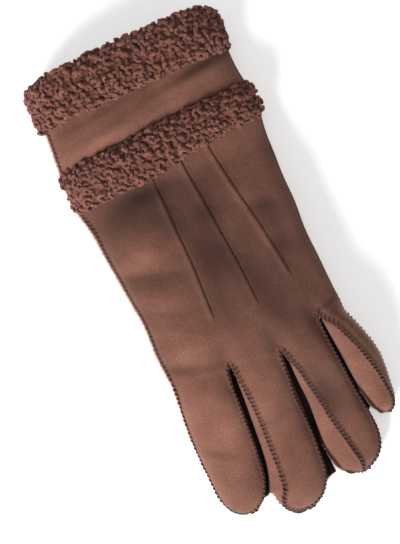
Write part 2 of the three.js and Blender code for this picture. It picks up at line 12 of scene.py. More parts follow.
import bmesh
import bpy
import numpy as np
from mathutils import Euler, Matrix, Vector, kdtree


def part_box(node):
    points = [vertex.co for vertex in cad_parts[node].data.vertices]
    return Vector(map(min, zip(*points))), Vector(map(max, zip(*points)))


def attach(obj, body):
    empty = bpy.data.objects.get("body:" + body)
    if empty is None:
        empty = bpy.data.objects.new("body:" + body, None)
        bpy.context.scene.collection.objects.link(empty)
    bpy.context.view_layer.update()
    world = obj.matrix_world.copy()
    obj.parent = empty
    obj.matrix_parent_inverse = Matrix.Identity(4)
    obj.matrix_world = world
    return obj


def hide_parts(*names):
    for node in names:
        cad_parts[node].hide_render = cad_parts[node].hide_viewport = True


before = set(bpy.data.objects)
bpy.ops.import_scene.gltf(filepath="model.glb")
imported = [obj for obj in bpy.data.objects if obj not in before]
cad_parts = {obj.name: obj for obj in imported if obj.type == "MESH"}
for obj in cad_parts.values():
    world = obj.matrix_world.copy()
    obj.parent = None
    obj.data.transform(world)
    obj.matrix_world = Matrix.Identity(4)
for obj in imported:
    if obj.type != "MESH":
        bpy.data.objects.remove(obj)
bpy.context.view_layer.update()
MM = 0.001

# %% [markdown]
# ## Sizes and tables
#
# The sizes repeat the driving sizes of the exact model, in metres. Short tables say how the hand and the
# fingers change on the way to the fingertips, with one row for each place. Reading a table on a smooth curve
# gives soft cloth from a handful of rows.

# %% Sizes of the glove
FINGERS = range(4)
INDEX, MIDDLE, RING, LITTLE = FINGERS
LEFT, RIGHT = 0, 1
TOP, BOTTOM = 1, -1

CUFF_TRIM_LENGTH = 25.5 * MM
CUFF_PANEL_LENGTH = 23.5 * MM
WRIST_TRIM_LENGTH = 24 * MM
HAND_LENGTH = 112 * MM
FINGER_LENGTHS = [82 * MM, 93.5 * MM, 87 * MM, 62 * MM]
FINGER_WIDTHS = [33.5 * MM, 29 * MM, 26.5 * MM, 14.5 * MM]
FINGER_DEPTHS = [17.5 * MM, 17.5 * MM, 17.5 * MM, 20 * MM]
SLEEVE_WIDTH = 112 * MM
HAND_DEPTH = 21 * MM
THUMB_DEPTH = 12 * MM
WALL = 2.5 * MM
PILE = 6 * MM
MOUTH_ROUND = 4 * MM
SLIT = 3 * MM
SEAM = 0.3 * MM
PRESSED = 0.5 * MM
POINTS = [44 * MM, 62 * MM, 79 * MM]
POINT_LENGTHS = [90 * MM, 92 * MM, 86 * MM]
WRIST_LEAN = 6 * MM

WRIST_START = CUFF_TRIM_LENGTH + CUFF_PANEL_LENGTH
BACK_START = WRIST_START + WRIST_TRIM_LENGTH
KNUCKLES = BACK_START + HAND_LENGTH
HAND_WIDTH = sum(FINGER_WIDTHS)
MIDDLE_LENGTH = FINGER_LENGTHS[MIDDLE]
PALM_LIFT = THUMB_DEPTH + 2 * SEAM - PRESSED
print("width across the knuckles in mm:", round(HAND_WIDTH / MM, 1))

# %% The lines of the seams
# Line k lies between fingers k - 1 and k, so the first and the last line are the side seams.
SIDE_LINES = (0, len(FINGERS))
LINE_AT_WRIST = [0] + [place / SLEEVE_WIDTH for place in POINTS] + [1]
LINE_CROTCH = [-0.02, 0.01, 0.06, -0.07, -0.09]
# Where the seams sit round each finger, in degrees: 0 on the little-finger side, 90 on top. Each seam has an
# angle at the crotch and one at the tip, first for the finger's index side and then for its other side.
SEAM_ANGLES = {
    TOP: [
        [(180, 180), (20, 20)],
        [(140, 114), (20, 20)],
        [(144, 84), (20, 20)],
        [(115, 44), (-12, -12)],
    ],
    BOTTOM: [
        [(180, 180), (335, 340)],
        [(205, 195), (335, 340)],
        [(205, 190), (335, 340)],
        [(205, 195), (348, 348)],
    ],
}
# Seams that turn to the finger's outline near the tip: the row where they start to turn, and their last angle
SEAM_TURNS = {
    (MIDDLE, TOP, LEFT): (0.8, 168),
    (RING, BOTTOM, LEFT): (0.55, 138),
    (LITTLE, BOTTOM, LEFT): (0.5, 136),
}
# The hand dips before each crotch: the dip is a share of the hand's depth, and its length a share of the
# middle finger's length.
VALLEY_DEPTH = 0.32
VALLEY_LENGTH = 0.22
# How long the rounding of a fingertip is for its width, how full a finger's section is, and over which share
# of its length the finger grows out of the flat hand
TIP_ROUND = 0.85
TUBE_FULLNESS = 0.88
ROOT_SHARE = 0.2
print("seam lines:", len(LINE_CROTCH), "of which", len(SEAM_TURNS), "seams turn near a tip")


# %% Tables and how they are read
def table(names, *rows):
    """A short table as named columns."""
    return dict(zip(names.split(), np.array(rows, float).T))


def read(rows, at, name):
    """One column of a table, read between its rows on a smooth curve."""
    places, values = rows["at"], rows[name]
    slopes = np.empty_like(values)
    slopes[1:-1] = (values[2:] - values[:-2]) / (places[2:] - places[:-2])
    slopes[0] = (values[1] - values[0]) / (places[1] - places[0])
    slopes[-1] = (values[-1] - values[-2]) / (places[-1] - places[-2])
    i = np.clip(np.searchsorted(places, at, side="right") - 1, 0, len(places) - 2)
    span = places[i + 1] - places[i]
    t = np.clip((at - places[i]) / span, 0, 1)
    bend = values[i] + t * t * (3 - 2 * t) * (values[i + 1] - values[i])
    return bend + t * (1 - t) ** 2 * span * slopes[i] + t * t * (t - 1) * span * slopes[i + 1]


HAND = table(
    "at sleeve swell shift rise depth",
    (0.0, 1.0, -0.01, -0.01, 0.0, 1.0),
    (0.16, 1.0, -0.01, -0.01, 0.0, 0.98),
    (0.31, 1.0, 0.018, -0.016, 0.02, 0.96),
    (0.43, 0.9, 0.0, -0.02, 0.15, 0.86),
    (0.5, 0.6, 0.0, -0.014, 0.4, 0.86),
    (0.6, 0.3, -0.008, -0.008, 0.85, 0.95),
    (0.73, 0.0, -0.01, 0.0, 1.0, 1.0),
    (0.85, 0.0, -0.018, 0.0, 1.0, 0.98),
    (1.0, 0.0, 0.0, 0.0, 1.0, 0.89),
)
REACH = table(
    "at lift depth line0 line1 line2 line3 line4",
    (0.0, 1.0, 1.06, 0, 0, 0, 0, 0),
    (0.14, 0.98, 1.03, -0.014, -0.02, 0.0, 0.01, 0.051),
    (0.28, 0.75, 1.0, -0.03, -0.029, -0.003, 0.019, 0.079),
    (0.42, 0.32, 1.0, -0.036, -0.041, -0.003, 0.032, 0.083),
    (0.56, 0.04, 1.0, -0.041, -0.055, -0.011, 0.047, 0.075),
    (0.7, 0.0, 1.0, -0.044, -0.074, -0.021, 0.058, 0.066),
    (0.84, 0.0, 0.98, -0.046, -0.1, -0.034, 0.05, 0.06),
    (1.0, 0.0, 0.95, -0.048, -0.12, -0.06, 0.03, 0.055),
)
OPENING = table(
    "at slit1 slit2 slit3",
    (0.0, 1.0, 0.5, 0.5),
    (0.2, 1.1, 1.0, 0.6),
    (0.4, 0.95, 1.4, 0.7),
    (0.6, 0.9, 1.3, 0.5),
    (0.8, 0.5, 1.2, 0.5),
    (1.0, 0.5, 1.5, 0.5),
)
# Soft folds: centre along and across, half length and half width, height as a share of the depth, turn in
# degrees. The first seven are the exact model's own, with the sixth set nearer to the fleece. The others are
# the smaller wrinkles of worn cloth.
FOLDS = [
    (0.46, 0.45, 0.09, 0.6, -0.09, 0),
    (0.6, 0.25, 0.12, 0.2, 0.07, 20),
    (0.7, 0.46, 0.3, 0.06, -0.05, 4),
    (0.68, 0.86, 0.2, 0.07, -0.06, -10),
    (0.56, 0.84, 0.1, 0.12, 0.06, 15),
    (0.158, 0.26, 0.03, 0.36, -0.06, 5),
    (0.92, 0.5, 0.1, 0.34, 0.05, 0),
    (0.46, 0.24, 0.05, 0.2, -0.07, 5),
    (0.62, 0.15, 0.05, 0.12, 0.06, 0),
    (0.66, 0.13, 0.028, 0.16, -0.06, -20),
    (0.725, 0.09, 0.05, 0.13, 0.055, -20),
    (0.777, 0.1, 0.03, 0.15, -0.055, -20),
    (0.838, 0.08, 0.045, 0.12, 0.045, -20),
    (0.915, 0.13, 0.05, 0.13, 0.05, 0),
    (0.962, 0.12, 0.028, 0.16, -0.06, -18),
    (0.66, 0.48, 0.2, 0.07, -0.08, 4),
    (0.81, 0.41, 0.12, 0.08, -0.06, 8),
    (0.68, 0.64, 0.2, 0.05, 0.04, -6),
    (0.56, 0.79, 0.05, 0.06, 0.05, -10),
    (0.61, 0.87, 0.05, 0.07, -0.07, -10),
    (0.69, 0.81, 0.05, 0.05, 0.05, -10),
    (0.735, 0.88, 0.06, 0.07, -0.06, -10),
    (0.914, 0.88, 0.1, 0.07, -0.04, 0),
    (0.158, 0.82, 0.03, 0.2, -0.08, 6),
    (0.2, 0.6, 0.035, 0.3, 0.05, 6),
    (0.238, 0.24, 0.035, 0.16, 0.05, 6),
    (0.236, 0.5, 0.045, 0.5, 0.07, 3),
]

# Painted light and shade: patches where the cloth is painted paler where it lies in light and darker where it
# lies in shade, such as the shadow below the wrist band and the shaded side of the ring finger: centre from
# the middle and from the mouth, half width and half length, all in mm, turn in degrees, tone.
PAINTED_PATCHES = [
    (-2, 136, 50, 44, 0, -0.28),
    (11, 138, 9, 46, 10, -0.42),
    (-24, 80, 21, 6, -3, -0.5),
    (-26, 95, 26, 8, -8, -0.26),
    (-18, 110, 10, 13, 0, -0.3),
    (-38, 128, 15, 5, -22, -0.26),
    (-4, 171, 16, 12, 0, -0.24),
    (22, 178, 13, 13, 0, -0.16),
    (33, 155, 14, 34, 10, -0.26),
    (39, 188, 8, 14, 12, -0.2),
    (22, 218, 13, 17, 8, -0.42),
    (50, 232, 8, 9, 0, -0.55),
    (-32, 213, 11, 27, -6, 0.3),
    (-24, 228, 5, 22, -4, 0.2),
    (29, 137, 9, 8, 0, 0.3),
    (42, 30, 17, 5, 6, -0.5),
    (-43, 230, 9, 2.5, -35, -0.34),
    (-1, 224, 7, 3, 10, -0.2),
    (-35, 113, 11, 4, -20, 0.3),
    (-40, 143, 10, 4, -20, 0.25),
    (-46, 178, 9, 5, -15, -0.25),
    (5.7, 105, 7, 8, 0, -0.24),
    (19, 177, 12, 10, 0, -0.12),
    (22, 231, 9, 13, 8, -0.32),
    (20, 262, 8, 5, 0, -0.2),
    (40, 236, 8, 6, 0, -0.16),
    (6, 49, 14, 5, 6, 0.2),
    (32, 38, 14, 5, 6, 0.26),
    (-34, 44, 10, 6, 6, 0.1),
    (-49, 145, 7, 45, -4, -0.2),
]


def lerp(a, b, t):
    return a + (b - a) * t


def smooth(low, high, value):
    """0 up to `low`, 1 from `high` on, with a soft rise between them."""
    t = np.clip((value - low) / (high - low), 0, 1)
    return t * t * (3 - 2 * t)


def bell(distance, width):
    """1 at no distance, and next to nothing two widths away."""
    return np.exp(-((distance / width) ** 2))


print("tables read:", len(HAND["at"]), "hand rows and", len(REACH["at"]), "finger rows")

# %% [markdown]
# ## The form of the hand
#
# Everything on the glove can be named by how far it lies from the mouth and how far across the hand it lies,
# from 0 at the index side to 1 at the little finger. The functions below turn such a name into a place. The
# hand is a flat tube with a rounded top. Past the knuckles it grows into four tubes, one for each finger.
# `inset` moves a place inwards through the wall, which gives the inner face of the cloth.

# %% The flat tube of the hand
MOUTH_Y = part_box("cuff_trim")[1][1]


def place(x, along, z):
    x, along, z = np.broadcast_arrays(x, along, z)
    return np.stack([x + MIDDLE_X, MOUTH_Y - along, z], axis=-1)


def roundness(across, side):
    off = np.minimum(1, np.abs(2 * across - 1))
    return (1 - off**2.8) ** (1 / 2.2) if side == TOP else np.sqrt(1 - off**4)


def hand_section(along):
    at = along / KNUCKLES
    width = lerp(HAND_WIDTH, SLEEVE_WIDTH, read(HAND, at, "sleeve")) * (1 + read(HAND, at, "swell"))
    low = lerp(PILE - PRESSED, PALM_LIFT, read(HAND, at, "rise"))
    return HAND_WIDTH * read(HAND, at, "shift"), width / 2, low, HAND_DEPTH * read(HAND, at, "depth")


def fold_height(along, across):
    total = 0
    for at, centre, length, width, height, turn in FOLDS:
        turn = np.radians(turn)
        dx = (across - centre) * HAND_WIDTH
        dy = along - at * KNUCKLES
        by_length = (dy * np.cos(turn) + dx * np.sin(turn)) / (length * HAND_WIDTH)
        by_width = (dx * np.cos(turn) - dy * np.sin(turn)) / (width * HAND_WIDTH)
        total = total + height * HAND_DEPTH * np.exp(-(by_length**2) - by_width**2)
    return total


def line_across(k, along):
    knuckle = sum(FINGER_WIDTHS[:k]) / HAND_WIDTH
    return lerp(LINE_AT_WRIST[k], knuckle, np.clip((along - BACK_START) / HAND_LENGTH, 0, 1))


def crotch_along(k):
    return KNUCKLES + LINE_CROTCH[k] * MIDDLE_LENGTH


def valley(k, share):
    """The dip across one finger's strip: on both its sides, but not at the side seams."""
    beside = np.where(share < 0.5, k != INDEX, k != LITTLE)
    return beside * (0.5 - 0.5 * np.cos(np.pi * (2 * share - 1))) ** 2


def hand_point(along, across, side, inset, finger=0, share=0.5):
    middle, half, low, depth = hand_section(along)
    near_crotch = smooth(-VALLEY_LENGTH * MIDDLE_LENGTH, 0, along - KNUCKLES)
    rise = roundness(across, side) - VALLEY_DEPTH * near_crotch * valley(finger, share)
    folded = fold_height(along, across) * roundness(across, TOP) if side == TOP else 0
    z = low + depth / 2 + side * (depth / 2 - inset) * rise + folded
    return place(middle + (half - inset) * (2 * across - 1), along, z)


print("the palm lies", round(PALM_LIFT / MM, 1), "mm over the table, on the thumb")

# %% The tubes of the fingers
def finger_section(k, along, inset):
    """The middle, half width, height and half depth of a finger at one place along it."""
    at = (along - KNUCKLES) / MIDDLE_LENGTH

    def wall(line, way):
        knuckle = (line_across(line, KNUCKLES) - 0.5) * HAND_WIDTH
        x = knuckle + MIDDLE_LENGTH * read(REACH, at, f"line{line}")
        if line in SIDE_LINES:
            return x + way * inset
        opening = SLIT * read(OPENING, at, f"slit{line}") / 2 + inset
        return x + way * opening * smooth(0, SLIT, along - crotch_along(line) + inset)

    left, right = wall(k, 1), wall(k + 1, -1)
    rounding = TIP_ROUND * FINGER_WIDTHS[k]
    tip = KNUCKLES + FINGER_LENGTHS[k] - inset
    fade = np.sqrt(1 - np.clip((along - tip + rounding) / rounding, 0, 1) ** 3)
    depth = FINGER_DEPTHS[k] * read(REACH, at, "depth")
    low = (PALM_LIFT + PRESSED) * read(REACH, at, "lift") - PRESSED
    return (left + right) / 2, (right - left) / 2 * fade, low + depth / 2, (depth / 2 - inset) * fade


def seam_angle(k, side, hand, row):
    """The seam's angle at a row of a finger."""
    angle = lerp(*SEAM_ANGLES[side][k][hand], row)
    if (k, side, hand) in SEAM_TURNS:
        start, last = SEAM_TURNS[k, side, hand]
        angle = lerp(angle, last, smooth(start, 1, row))
    return np.radians(angle)


def tube_point(k, along, angle, inset):
    x, width, z, height = finger_section(k, along, inset)
    bow_x = np.sign(np.cos(angle)) * np.abs(np.cos(angle)) ** TUBE_FULLNESS
    bow_z = np.sign(np.sin(angle)) * np.abs(np.sin(angle)) ** TUBE_FULLNESS
    return place(x + width * bow_x, along, z + height * bow_z)


def finger_along(k, line, row, inset):
    return lerp(crotch_along(line) - inset, KNUCKLES + FINGER_LENGTHS[k] - inset, row)


def web_point(k, along, share, side, inset):
    """The flat hand carried on past the crotch, which the finger's tube grows out of."""
    x, width, z, height = finger_section(k, along, inset)
    across = lerp(line_across(k, KNUCKLES), line_across(k + 1, KNUCKLES), share)
    rise = roundness(across, side) - VALLEY_DEPTH * valley(k, share)
    return place(x + width * (2 * share - 1), along, z + side * height * rise)


def finger_point(k, row, share, side, inset):
    along = lerp(finger_along(k, k, row, inset), finger_along(k, k + 1, row, inset), share)
    angle = lerp(seam_angle(k, side, LEFT, row), seam_angle(k, side, RIGHT, row), share)
    grown = smooth(0, ROOT_SHARE, row)[..., None]
    return lerp(web_point(k, along, share, side, inset), tube_point(k, along, angle, inset), grown)


print("from the mouth to the middle fingertip in mm:", round((KNUCKLES + MIDDLE_LENGTH) / MM, 1))

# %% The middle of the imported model
# Until here the hand is described from its own middle line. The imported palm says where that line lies.
WIDTH_SAMPLES = 400
MIDDLE_X = 0.0
reach = np.linspace(CUFF_TRIM_LENGTH, KNUCKLES + MIDDLE_LENGTH, WIDTH_SAMPLES)
middle, half, _, _ = hand_section(np.minimum(reach, KNUCKLES))
index_x, index_half, _, _ = finger_section(INDEX, reach, 0)
little_x, little_half, _, _ = finger_section(LITTLE, reach, 0)
past = reach > KNUCKLES
leftmost = np.where(past, index_x - index_half, middle - half).min()
rightmost = np.where(past, little_x + little_half, middle + half).max()
palm_low, palm_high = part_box("palm_panel")
MIDDLE_X = (palm_low[0] + palm_high[0] - leftmost - rightmost) / 2
print("the model's middle lies at x =", round(MIDDLE_X / MM, 3), "mm")

# %% [markdown]
# ## Cloth as a fine sheet
#
# A panel of cloth is a grid: rows along the glove and columns across each finger. Even columns would be too
# coarse at the seams, where the cloth rolls up within two millimetres. So each row is measured along its
# curve, and the columns are set close together near both edges and further apart between them.
#
# A sheet has an outer face, an inner face one wall further in, and a rim that joins them along every free
# edge, so it is closed, as real cloth is. The outer face is then lifted into lips along the seams.

# %% Measured columns
DENSE = 110
TRIAL_ROWS = 600
TRIAL_CROWDING = 0.6
EDGE_STEPS = np.array([0, 0.3, 0.6, 0.95, 1.35, 1.8, 2.4, 3.2, 4.4]) * MM


def unit(vectors):
    return vectors / np.maximum(np.linalg.norm(vectors, axis=-1, keepdims=True), 1e-9)


def arc_length(line):
    """How far each point of a line lies from its first one, measured along the line."""
    return np.concatenate([[0], np.cumsum(np.linalg.norm(np.diff(line, axis=0), axis=1))])


def along_line(line, arc, wanted):
    """A line's points, or other values stored with them, at the wanted lengths along it."""
    return np.stack([np.interp(wanted, arc, axis) for axis in line.T], axis=1)


def measured(points, columns):
    """Rows of points, measured again so that their columns crowd towards both edges.

    Further values may follow each point's x, y and z. Also gives how far each column is from either edge."""
    steps = np.linalg.norm(np.diff(points[..., :3], axis=1), axis=2)
    arc = np.concatenate([np.zeros((len(points), 1)), np.cumsum(steps, axis=1)], axis=1)
    length = arc[:, -1:]
    shrink = np.minimum(1, length / (3 * EDGE_STEPS[-1]))
    edge = EDGE_STEPS * shrink
    between = np.linspace(0, 1, columns - 2 * len(EDGE_STEPS) + 2)[1:-1]
    middle = lerp(edge[:, -1:], length - edge[:, -1:], between)
    wanted = np.concatenate([edge, middle, length - edge[:, ::-1]], axis=1)
    rows = [[np.interp(w, a, axis) for axis in p.T] for w, a, p in zip(wanted, arc, points)]
    return np.array(rows).transpose(0, 2, 1), wanted, length - wanted


def even_rows(k, side, step):
    """Rows of a finger, closer together where the tip rounds off."""
    trial = np.linspace(0, 1, TRIAL_ROWS) ** TRIAL_CROWDING
    arc = arc_length(finger_point(k, trial, 0.5, side, 0))
    return np.interp(np.linspace(0, arc[-1], int(arc[-1] / step)), arc, trial)


print("columns crowd over the last", EDGE_STEPS[-1] / MM, "mm beside a seam")

# %% A closed sheet from an outer and an inner face
def link_object(name, data):
    piece = bpy.data.objects.new(name, data)
    bpy.context.scene.collection.objects.link(piece)
    return piece


def add_piece(name, points, faces, material, floats=None):
    """A mesh object at the origin, smooth shaded, with its faces turned outwards."""
    mesh = bpy.data.meshes.new(name)
    mesh.from_pydata([tuple(p) for p in points], [], faces)
    for label, values in (floats or {}).items():
        layer = mesh.attributes.new(label, "FLOAT", "POINT")
        layer.data.foreach_set("value", np.ascontiguousarray(values, dtype=np.float32))
    work = bmesh.new()
    work.from_mesh(mesh)
    bmesh.ops.recalc_face_normals(work, faces=work.faces)
    work.to_mesh(mesh)
    work.free()
    mesh.materials.append(material)
    mesh.shade_smooth()
    return link_object(name, mesh)


def number_grid(points):
    """A number for each point of a grid, row by row."""
    return np.arange(points[..., 0].size).reshape(points.shape[:2])


def grid_faces(numbers, closed=False):
    """Quads over a grid of vertex numbers. Corners that share a number are dropped."""
    if closed:
        numbers = np.concatenate([numbers, numbers[:, :1]], axis=1)
    quads = np.stack([numbers[:-1, :-1], numbers[1:, :-1], numbers[1:, 1:], numbers[:-1, 1:]], axis=-1)
    faces = []
    for quad in quads.reshape(-1, 4).tolist():
        kept = [v for i, v in enumerate(quad) if v != quad[i - 1]]
        if len(kept) > 2:
            faces.append(kept)
    return faces


def closed_sheet(name, outer, inner, faces, material, floats=None):
    """Joins an outer and an inner face, numbered alike, with a rim along every free edge."""
    outer, inner = outer.reshape(-1, 3), inner.reshape(-1, 3)
    count = len(outer)
    edges = {(a, b) for face in faces for a, b in zip(face, face[1:] + face[:1])}
    rim = [[q, p, p + count, q + count] for p, q in sorted(edges) if (q, p) not in edges]
    back = [[v + count for v in reversed(face)] for face in faces]
    used = sorted({v for face in faces for v in face})
    fresh = {v: i for i, v in enumerate(used + [v + count for v in used])}
    every = [[fresh[v] for v in face] for face in faces + back + rim]
    both = {}
    for label, values in (floats or {}).items():
        both[label] = np.concatenate([values[used], values[used] * 0])
    return add_piece(name, np.concatenate([outer[used], inner[used]]), every, material, both)


print("a grid of 3 by 3 points has", len(grid_faces(np.arange(9).reshape(3, 3))), "faces")

# %% [markdown]
# ## Materials
#
# Suede cloth is matt. Its short nap catches light at grazing angles, which the sheen of the surface shader
# gives, and it is rubbed this way and that, so its colour is mottled at the size of a fingertip. A fine noise
# stands for the nap itself. All patterns are read from the object's own coordinates, so they stay with the
# cloth. The cut edge shows the paler ground of the cloth, driven by an attribute stored with the mesh. Two
# more stored attributes paint light and shade into the colour: painted shade in the slits, in creases and
# beside seams, which also takes the sheen away there, and painted light and shade on the folds and in broad
# patches of the back.

# %% Shader helpers
def shader(name, roughness, sheen=0.0, sheen_tint=(1, 1, 1), sheen_roughness=0.5):
    material = bpy.data.materials.new(name)
    material.use_nodes = True
    surface = material.node_tree.nodes["Principled BSDF"]
    surface.inputs["Roughness"].default_value = roughness
    surface.inputs["Specular IOR Level"].default_value = 0.15
    surface.inputs["Sheen Weight"].default_value = sheen
    surface.inputs["Sheen Roughness"].default_value = sheen_roughness
    surface.inputs["Sheen Tint"].default_value = (*sheen_tint, 1)
    return material, surface


def set_inputs(tree, node, **inputs):
    """Sets some inputs of a node by name. A socket is linked, anything else is a value."""
    for label, value in inputs.items():
        socket = node.inputs[label.replace("_", " ")]
        if isinstance(value, bpy.types.NodeSocket):
            tree.links.new(value, socket)
        else:
            socket.default_value = value


def add_node(tree, kind, **inputs):
    node = tree.nodes.new(kind)
    set_inputs(tree, node, **inputs)
    return node


def noise(tree, coordinates, scale, detail=2.0, roughness=0.5):
    sizes = {"Scale": scale, "Detail": detail, "Roughness": roughness}
    return add_node(tree, "ShaderNodeTexNoise", Vector=coordinates, **sizes).outputs["Fac"]


def remap(tree, value, low, high, to_low=0.0, to_high=1.0):
    ends = {"From_Min": low, "From_Max": high, "To_Min": to_low, "To_Max": to_high}
    return add_node(tree, "ShaderNodeMapRange", Value=value, **ends).outputs["Result"]


def blend_colours(tree, factor, first, second, mode="MIX"):
    node = tree.nodes.new("ShaderNodeMix")
    node.data_type = "RGBA"
    node.blend_type = mode
    sockets = [node.inputs[0], node.inputs[6], node.inputs[7]]
    for socket, value in zip(sockets, (factor, first, second)):
        if isinstance(value, bpy.types.NodeSocket):
            tree.links.new(value, socket)
        else:
            socket.default_value = value
    return node.outputs[2]


def object_coordinates(tree):
    return tree.nodes.new("ShaderNodeTexCoord").outputs["Object"]


def attribute(tree, name):
    node = tree.nodes.new("ShaderNodeAttribute")
    node.attribute_name = name
    return node.outputs["Fac"]


def bump(tree, surface, height, distance, strength, below=None):
    node = add_node(tree, "ShaderNodeBump", Height=height, Distance=distance, Strength=strength)
    if below:
        tree.links.new(below, node.inputs["Normal"])
    tree.links.new(node.outputs["Normal"], surface.inputs["Normal"])
    return node.outputs["Normal"]


# %% Suede, thread and fleece
SUEDE_DARK = (0.140, 0.057, 0.039, 1)
SUEDE_LIGHT = (0.190, 0.082, 0.057, 1)
SUEDE_EDGE = (0.42, 0.24, 0.19, 1)
# Painted shade: the near-black that closed slits, creases and the cloth beside seams are painted towards
SUEDE_PAINTED_SHADE = (0.008, 0.004, 0.003, 1)
SUEDE_SHEEN = 0.35
THREAD_COLOUR = (0.085, 0.030, 0.021, 1)
# Painted shade: the colour of the pile's crevices, and the colour of its lit tips
FLEECE_PAINTED_SHADE = (0.105, 0.038, 0.029, 1)
FLEECE_TIP = (0.208, 0.079, 0.058, 1)
# Sizes of the patterns, as noise cells in a metre
SUEDE_PATCHES, SUEDE_PILLS, SUEDE_NAP = 55, 260, 1100
THREAD_PLIES, THREAD_FUZZ = 1500, 2500
FLEECE_PATCHES, FLEECE_FUZZ = 160, 1300


def spread(tree, pattern, low=0.0, high=1.0):
    """Noise lies mostly between 0.3 and 0.7. This spreads it over the range that a finish needs."""
    return remap(tree, pattern, 0.3, 0.7, low, high)


def multiplied(tree, colour, factor):
    return blend_colours(tree, 1.0, colour, factor, "MULTIPLY")


def make_suede():
    material, surface = shader("suede", 0.95, sheen=SUEDE_SHEEN, sheen_tint=(1.0, 0.78, 0.7))
    tree = material.node_tree
    where = object_coordinates(tree)
    nap = noise(tree, where, SUEDE_NAP, 4, 0.65)
    patches = spread(tree, noise(tree, where, SUEDE_PATCHES, 4, 0.6))
    colour = blend_colours(tree, patches, SUEDE_DARK, SUEDE_LIGHT)
    colour = multiplied(tree, colour, spread(tree, nap, 0.72, 1.22))
    # Painted light and shade: the folds and broad patches are painted paler where lit and darker where shaded
    colour = multiplied(tree, colour, remap(tree, attribute(tree, "painted_light_shade"), -1, 1, 0, 2))
    # Painted shade: the stored value darkens slits, the crease under the wrist band and the cloth beside
    # seams nearly to black, and takes the sheen away there
    painted_shade = attribute(tree, "painted_shade")
    colour = blend_colours(tree, painted_shade, colour, SUEDE_PAINTED_SHADE)
    colour = blend_colours(tree, attribute(tree, "edge"), colour, SUEDE_EDGE)
    tree.links.new(colour, surface.inputs["Base Color"])
    tree.links.new(remap(tree, painted_shade, 0, 1, SUEDE_SHEEN, 0), surface.inputs["Sheen Weight"])
    below = bump(tree, surface, noise(tree, where, SUEDE_PILLS, 3, 0.6), 0.6 * MM, 0.35)
    bump(tree, surface, nap, 0.3 * MM, 0.5, below)
    return material


def make_thread():
    material, surface = shader("thread", 0.6, sheen=0.2)
    tree = material.node_tree
    where = object_coordinates(tree)
    plies = spread(tree, noise(tree, where, THREAD_PLIES, 2), 0.6, 1.5)
    tree.links.new(multiplied(tree, THREAD_COLOUR, plies), surface.inputs["Base Color"])
    bump(tree, surface, noise(tree, where, THREAD_FUZZ, 1), 0.2 * MM, 0.6)
    return material


def make_fleece():
    material, surface = shader("fleece", 1.0, sheen=0.2, sheen_tint=(1.0, 0.72, 0.62))
    tree = material.node_tree
    where = object_coordinates(tree)
    fuzz = noise(tree, where, FLEECE_FUZZ, 3, 0.7)
    # Painted shade: the stored height paints the pile's crevices dark and its tips light
    colour = blend_colours(tree, attribute(tree, "tip"), FLEECE_PAINTED_SHADE, FLEECE_TIP)
    colour = multiplied(tree, colour, spread(tree, noise(tree, where, FLEECE_PATCHES, 2), 0.8, 1.2))
    colour = multiplied(tree, colour, spread(tree, fuzz, 0.7, 1.3))
    tree.links.new(colour, surface.inputs["Base Color"])
    bump(tree, surface, fuzz, 0.9 * MM, 1.0)
    return material


suede, thread, fleece = make_suede(), make_thread(), make_fleece()
print("materials:", suede.name, thread.name, fleece.name)

# %% [markdown]
# ## The back, the palm and the cuff panel
#
# The back runs from the wrist to all four fingertips. Four strips of grid lie side by side and share their
# edge columns on the hand. Past the crotches they part and each becomes one finger. On the hand the shared
# columns are the three points: tucks stitched through a raised fold, with a crease on one side.
#
# The palm is made by the same function with its other side, and so is the smooth strip between the two
# fleece bands. That is why the edges of these panels meet exactly.

# %% Lips, waves and shades
LIP_HEIGHT = 1.35 * MM
LIP_CREST = 0.7 * MM
LIP_WIDTH = 0.85 * MM
STITCH_PITCH = 2.6 * MM
NOTCH_DEPTH = 0.6
# Painted shade beside the seams: how dark at the seam, and how far it reaches
SEAM_SHADE = 0.6
SEAM_SHADE_WIDTH = 1.2 * MM
# Long waves of worn cloth: how fast each one runs along x and along y, where it starts, its height in mm
SWELLS = [
    (95, 40, 0.3, 0.4),
    (-60, 120, 1.9, 0.35),
    (170, -70, 4.0, 0.25),
    (35, 200, 2.2, 0.25),
    (290, 130, 1, 0.1),
]


def lip(distance):
    """How far the cloth stands out at a distance from its sewn edge: a soft crest just inside the edge."""
    return LIP_HEIGHT * bell(distance - LIP_CREST, LIP_WIDTH)


def swelling(points):
    """Soft unevenness of worn cloth: a few long waves that cross each other."""
    total = np.zeros(points.shape[:-1])
    for by_x, by_y, start, height in SWELLS:
        total += height * MM * np.sin(by_x * points[..., 0] + by_y * points[..., 1] + start)
    return total


def painted_patches(points):
    """Painted light and shade: how much paler or darker the cloth is painted at each point."""
    total = 0
    for x, along, width, length, turn, tone in PAINTED_PATCHES:
        turn = np.radians(turn)
        dx, dy = points[..., 0] - x * MM, MOUTH_Y - points[..., 1] - along * MM
        by_width = (dx * np.cos(turn) - dy * np.sin(turn)) / (width * MM)
        by_length = (dx * np.sin(turn) + dy * np.cos(turn)) / (length * MM)
        total = total + tone * np.exp(-(by_width**2) - by_length**2)
    return total


def seam_shade(gap):
    """Painted shade: cloth beside a whipped seam is painted dark for the thread's own dark and its shadow."""
    return SEAM_SHADE * bell(gap, SEAM_SHADE_WIDTH)


def notches(edge, first):
    """The thread pulls the lip in at each stitch. Gives the lip's strength along a line of edge points."""
    arc = arc_length(edge)
    pulled = 0.5 - 0.5 * np.cos(2 * np.pi * (arc - arc[first]) / STITCH_PITCH)
    return np.where(np.arange(len(edge)) < first, 1, 1 - NOTCH_DEPTH * pulled)[:, None]


print("a lip stands out by at most", round(LIP_HEIGHT / MM, 2), "mm")

# %% One finger's strip of a panel
SIDE_LIP = 0.7
POINT_HEIGHT = 0.8 * MM
POINT_WIDTH = 1.7 * MM
POINT_FADE = 9 * MM
CREASE_AT = 1.35 * MM
CREASE_DEPTH = 0.75 * MM
CREASE_WIDTH = 0.4 * MM


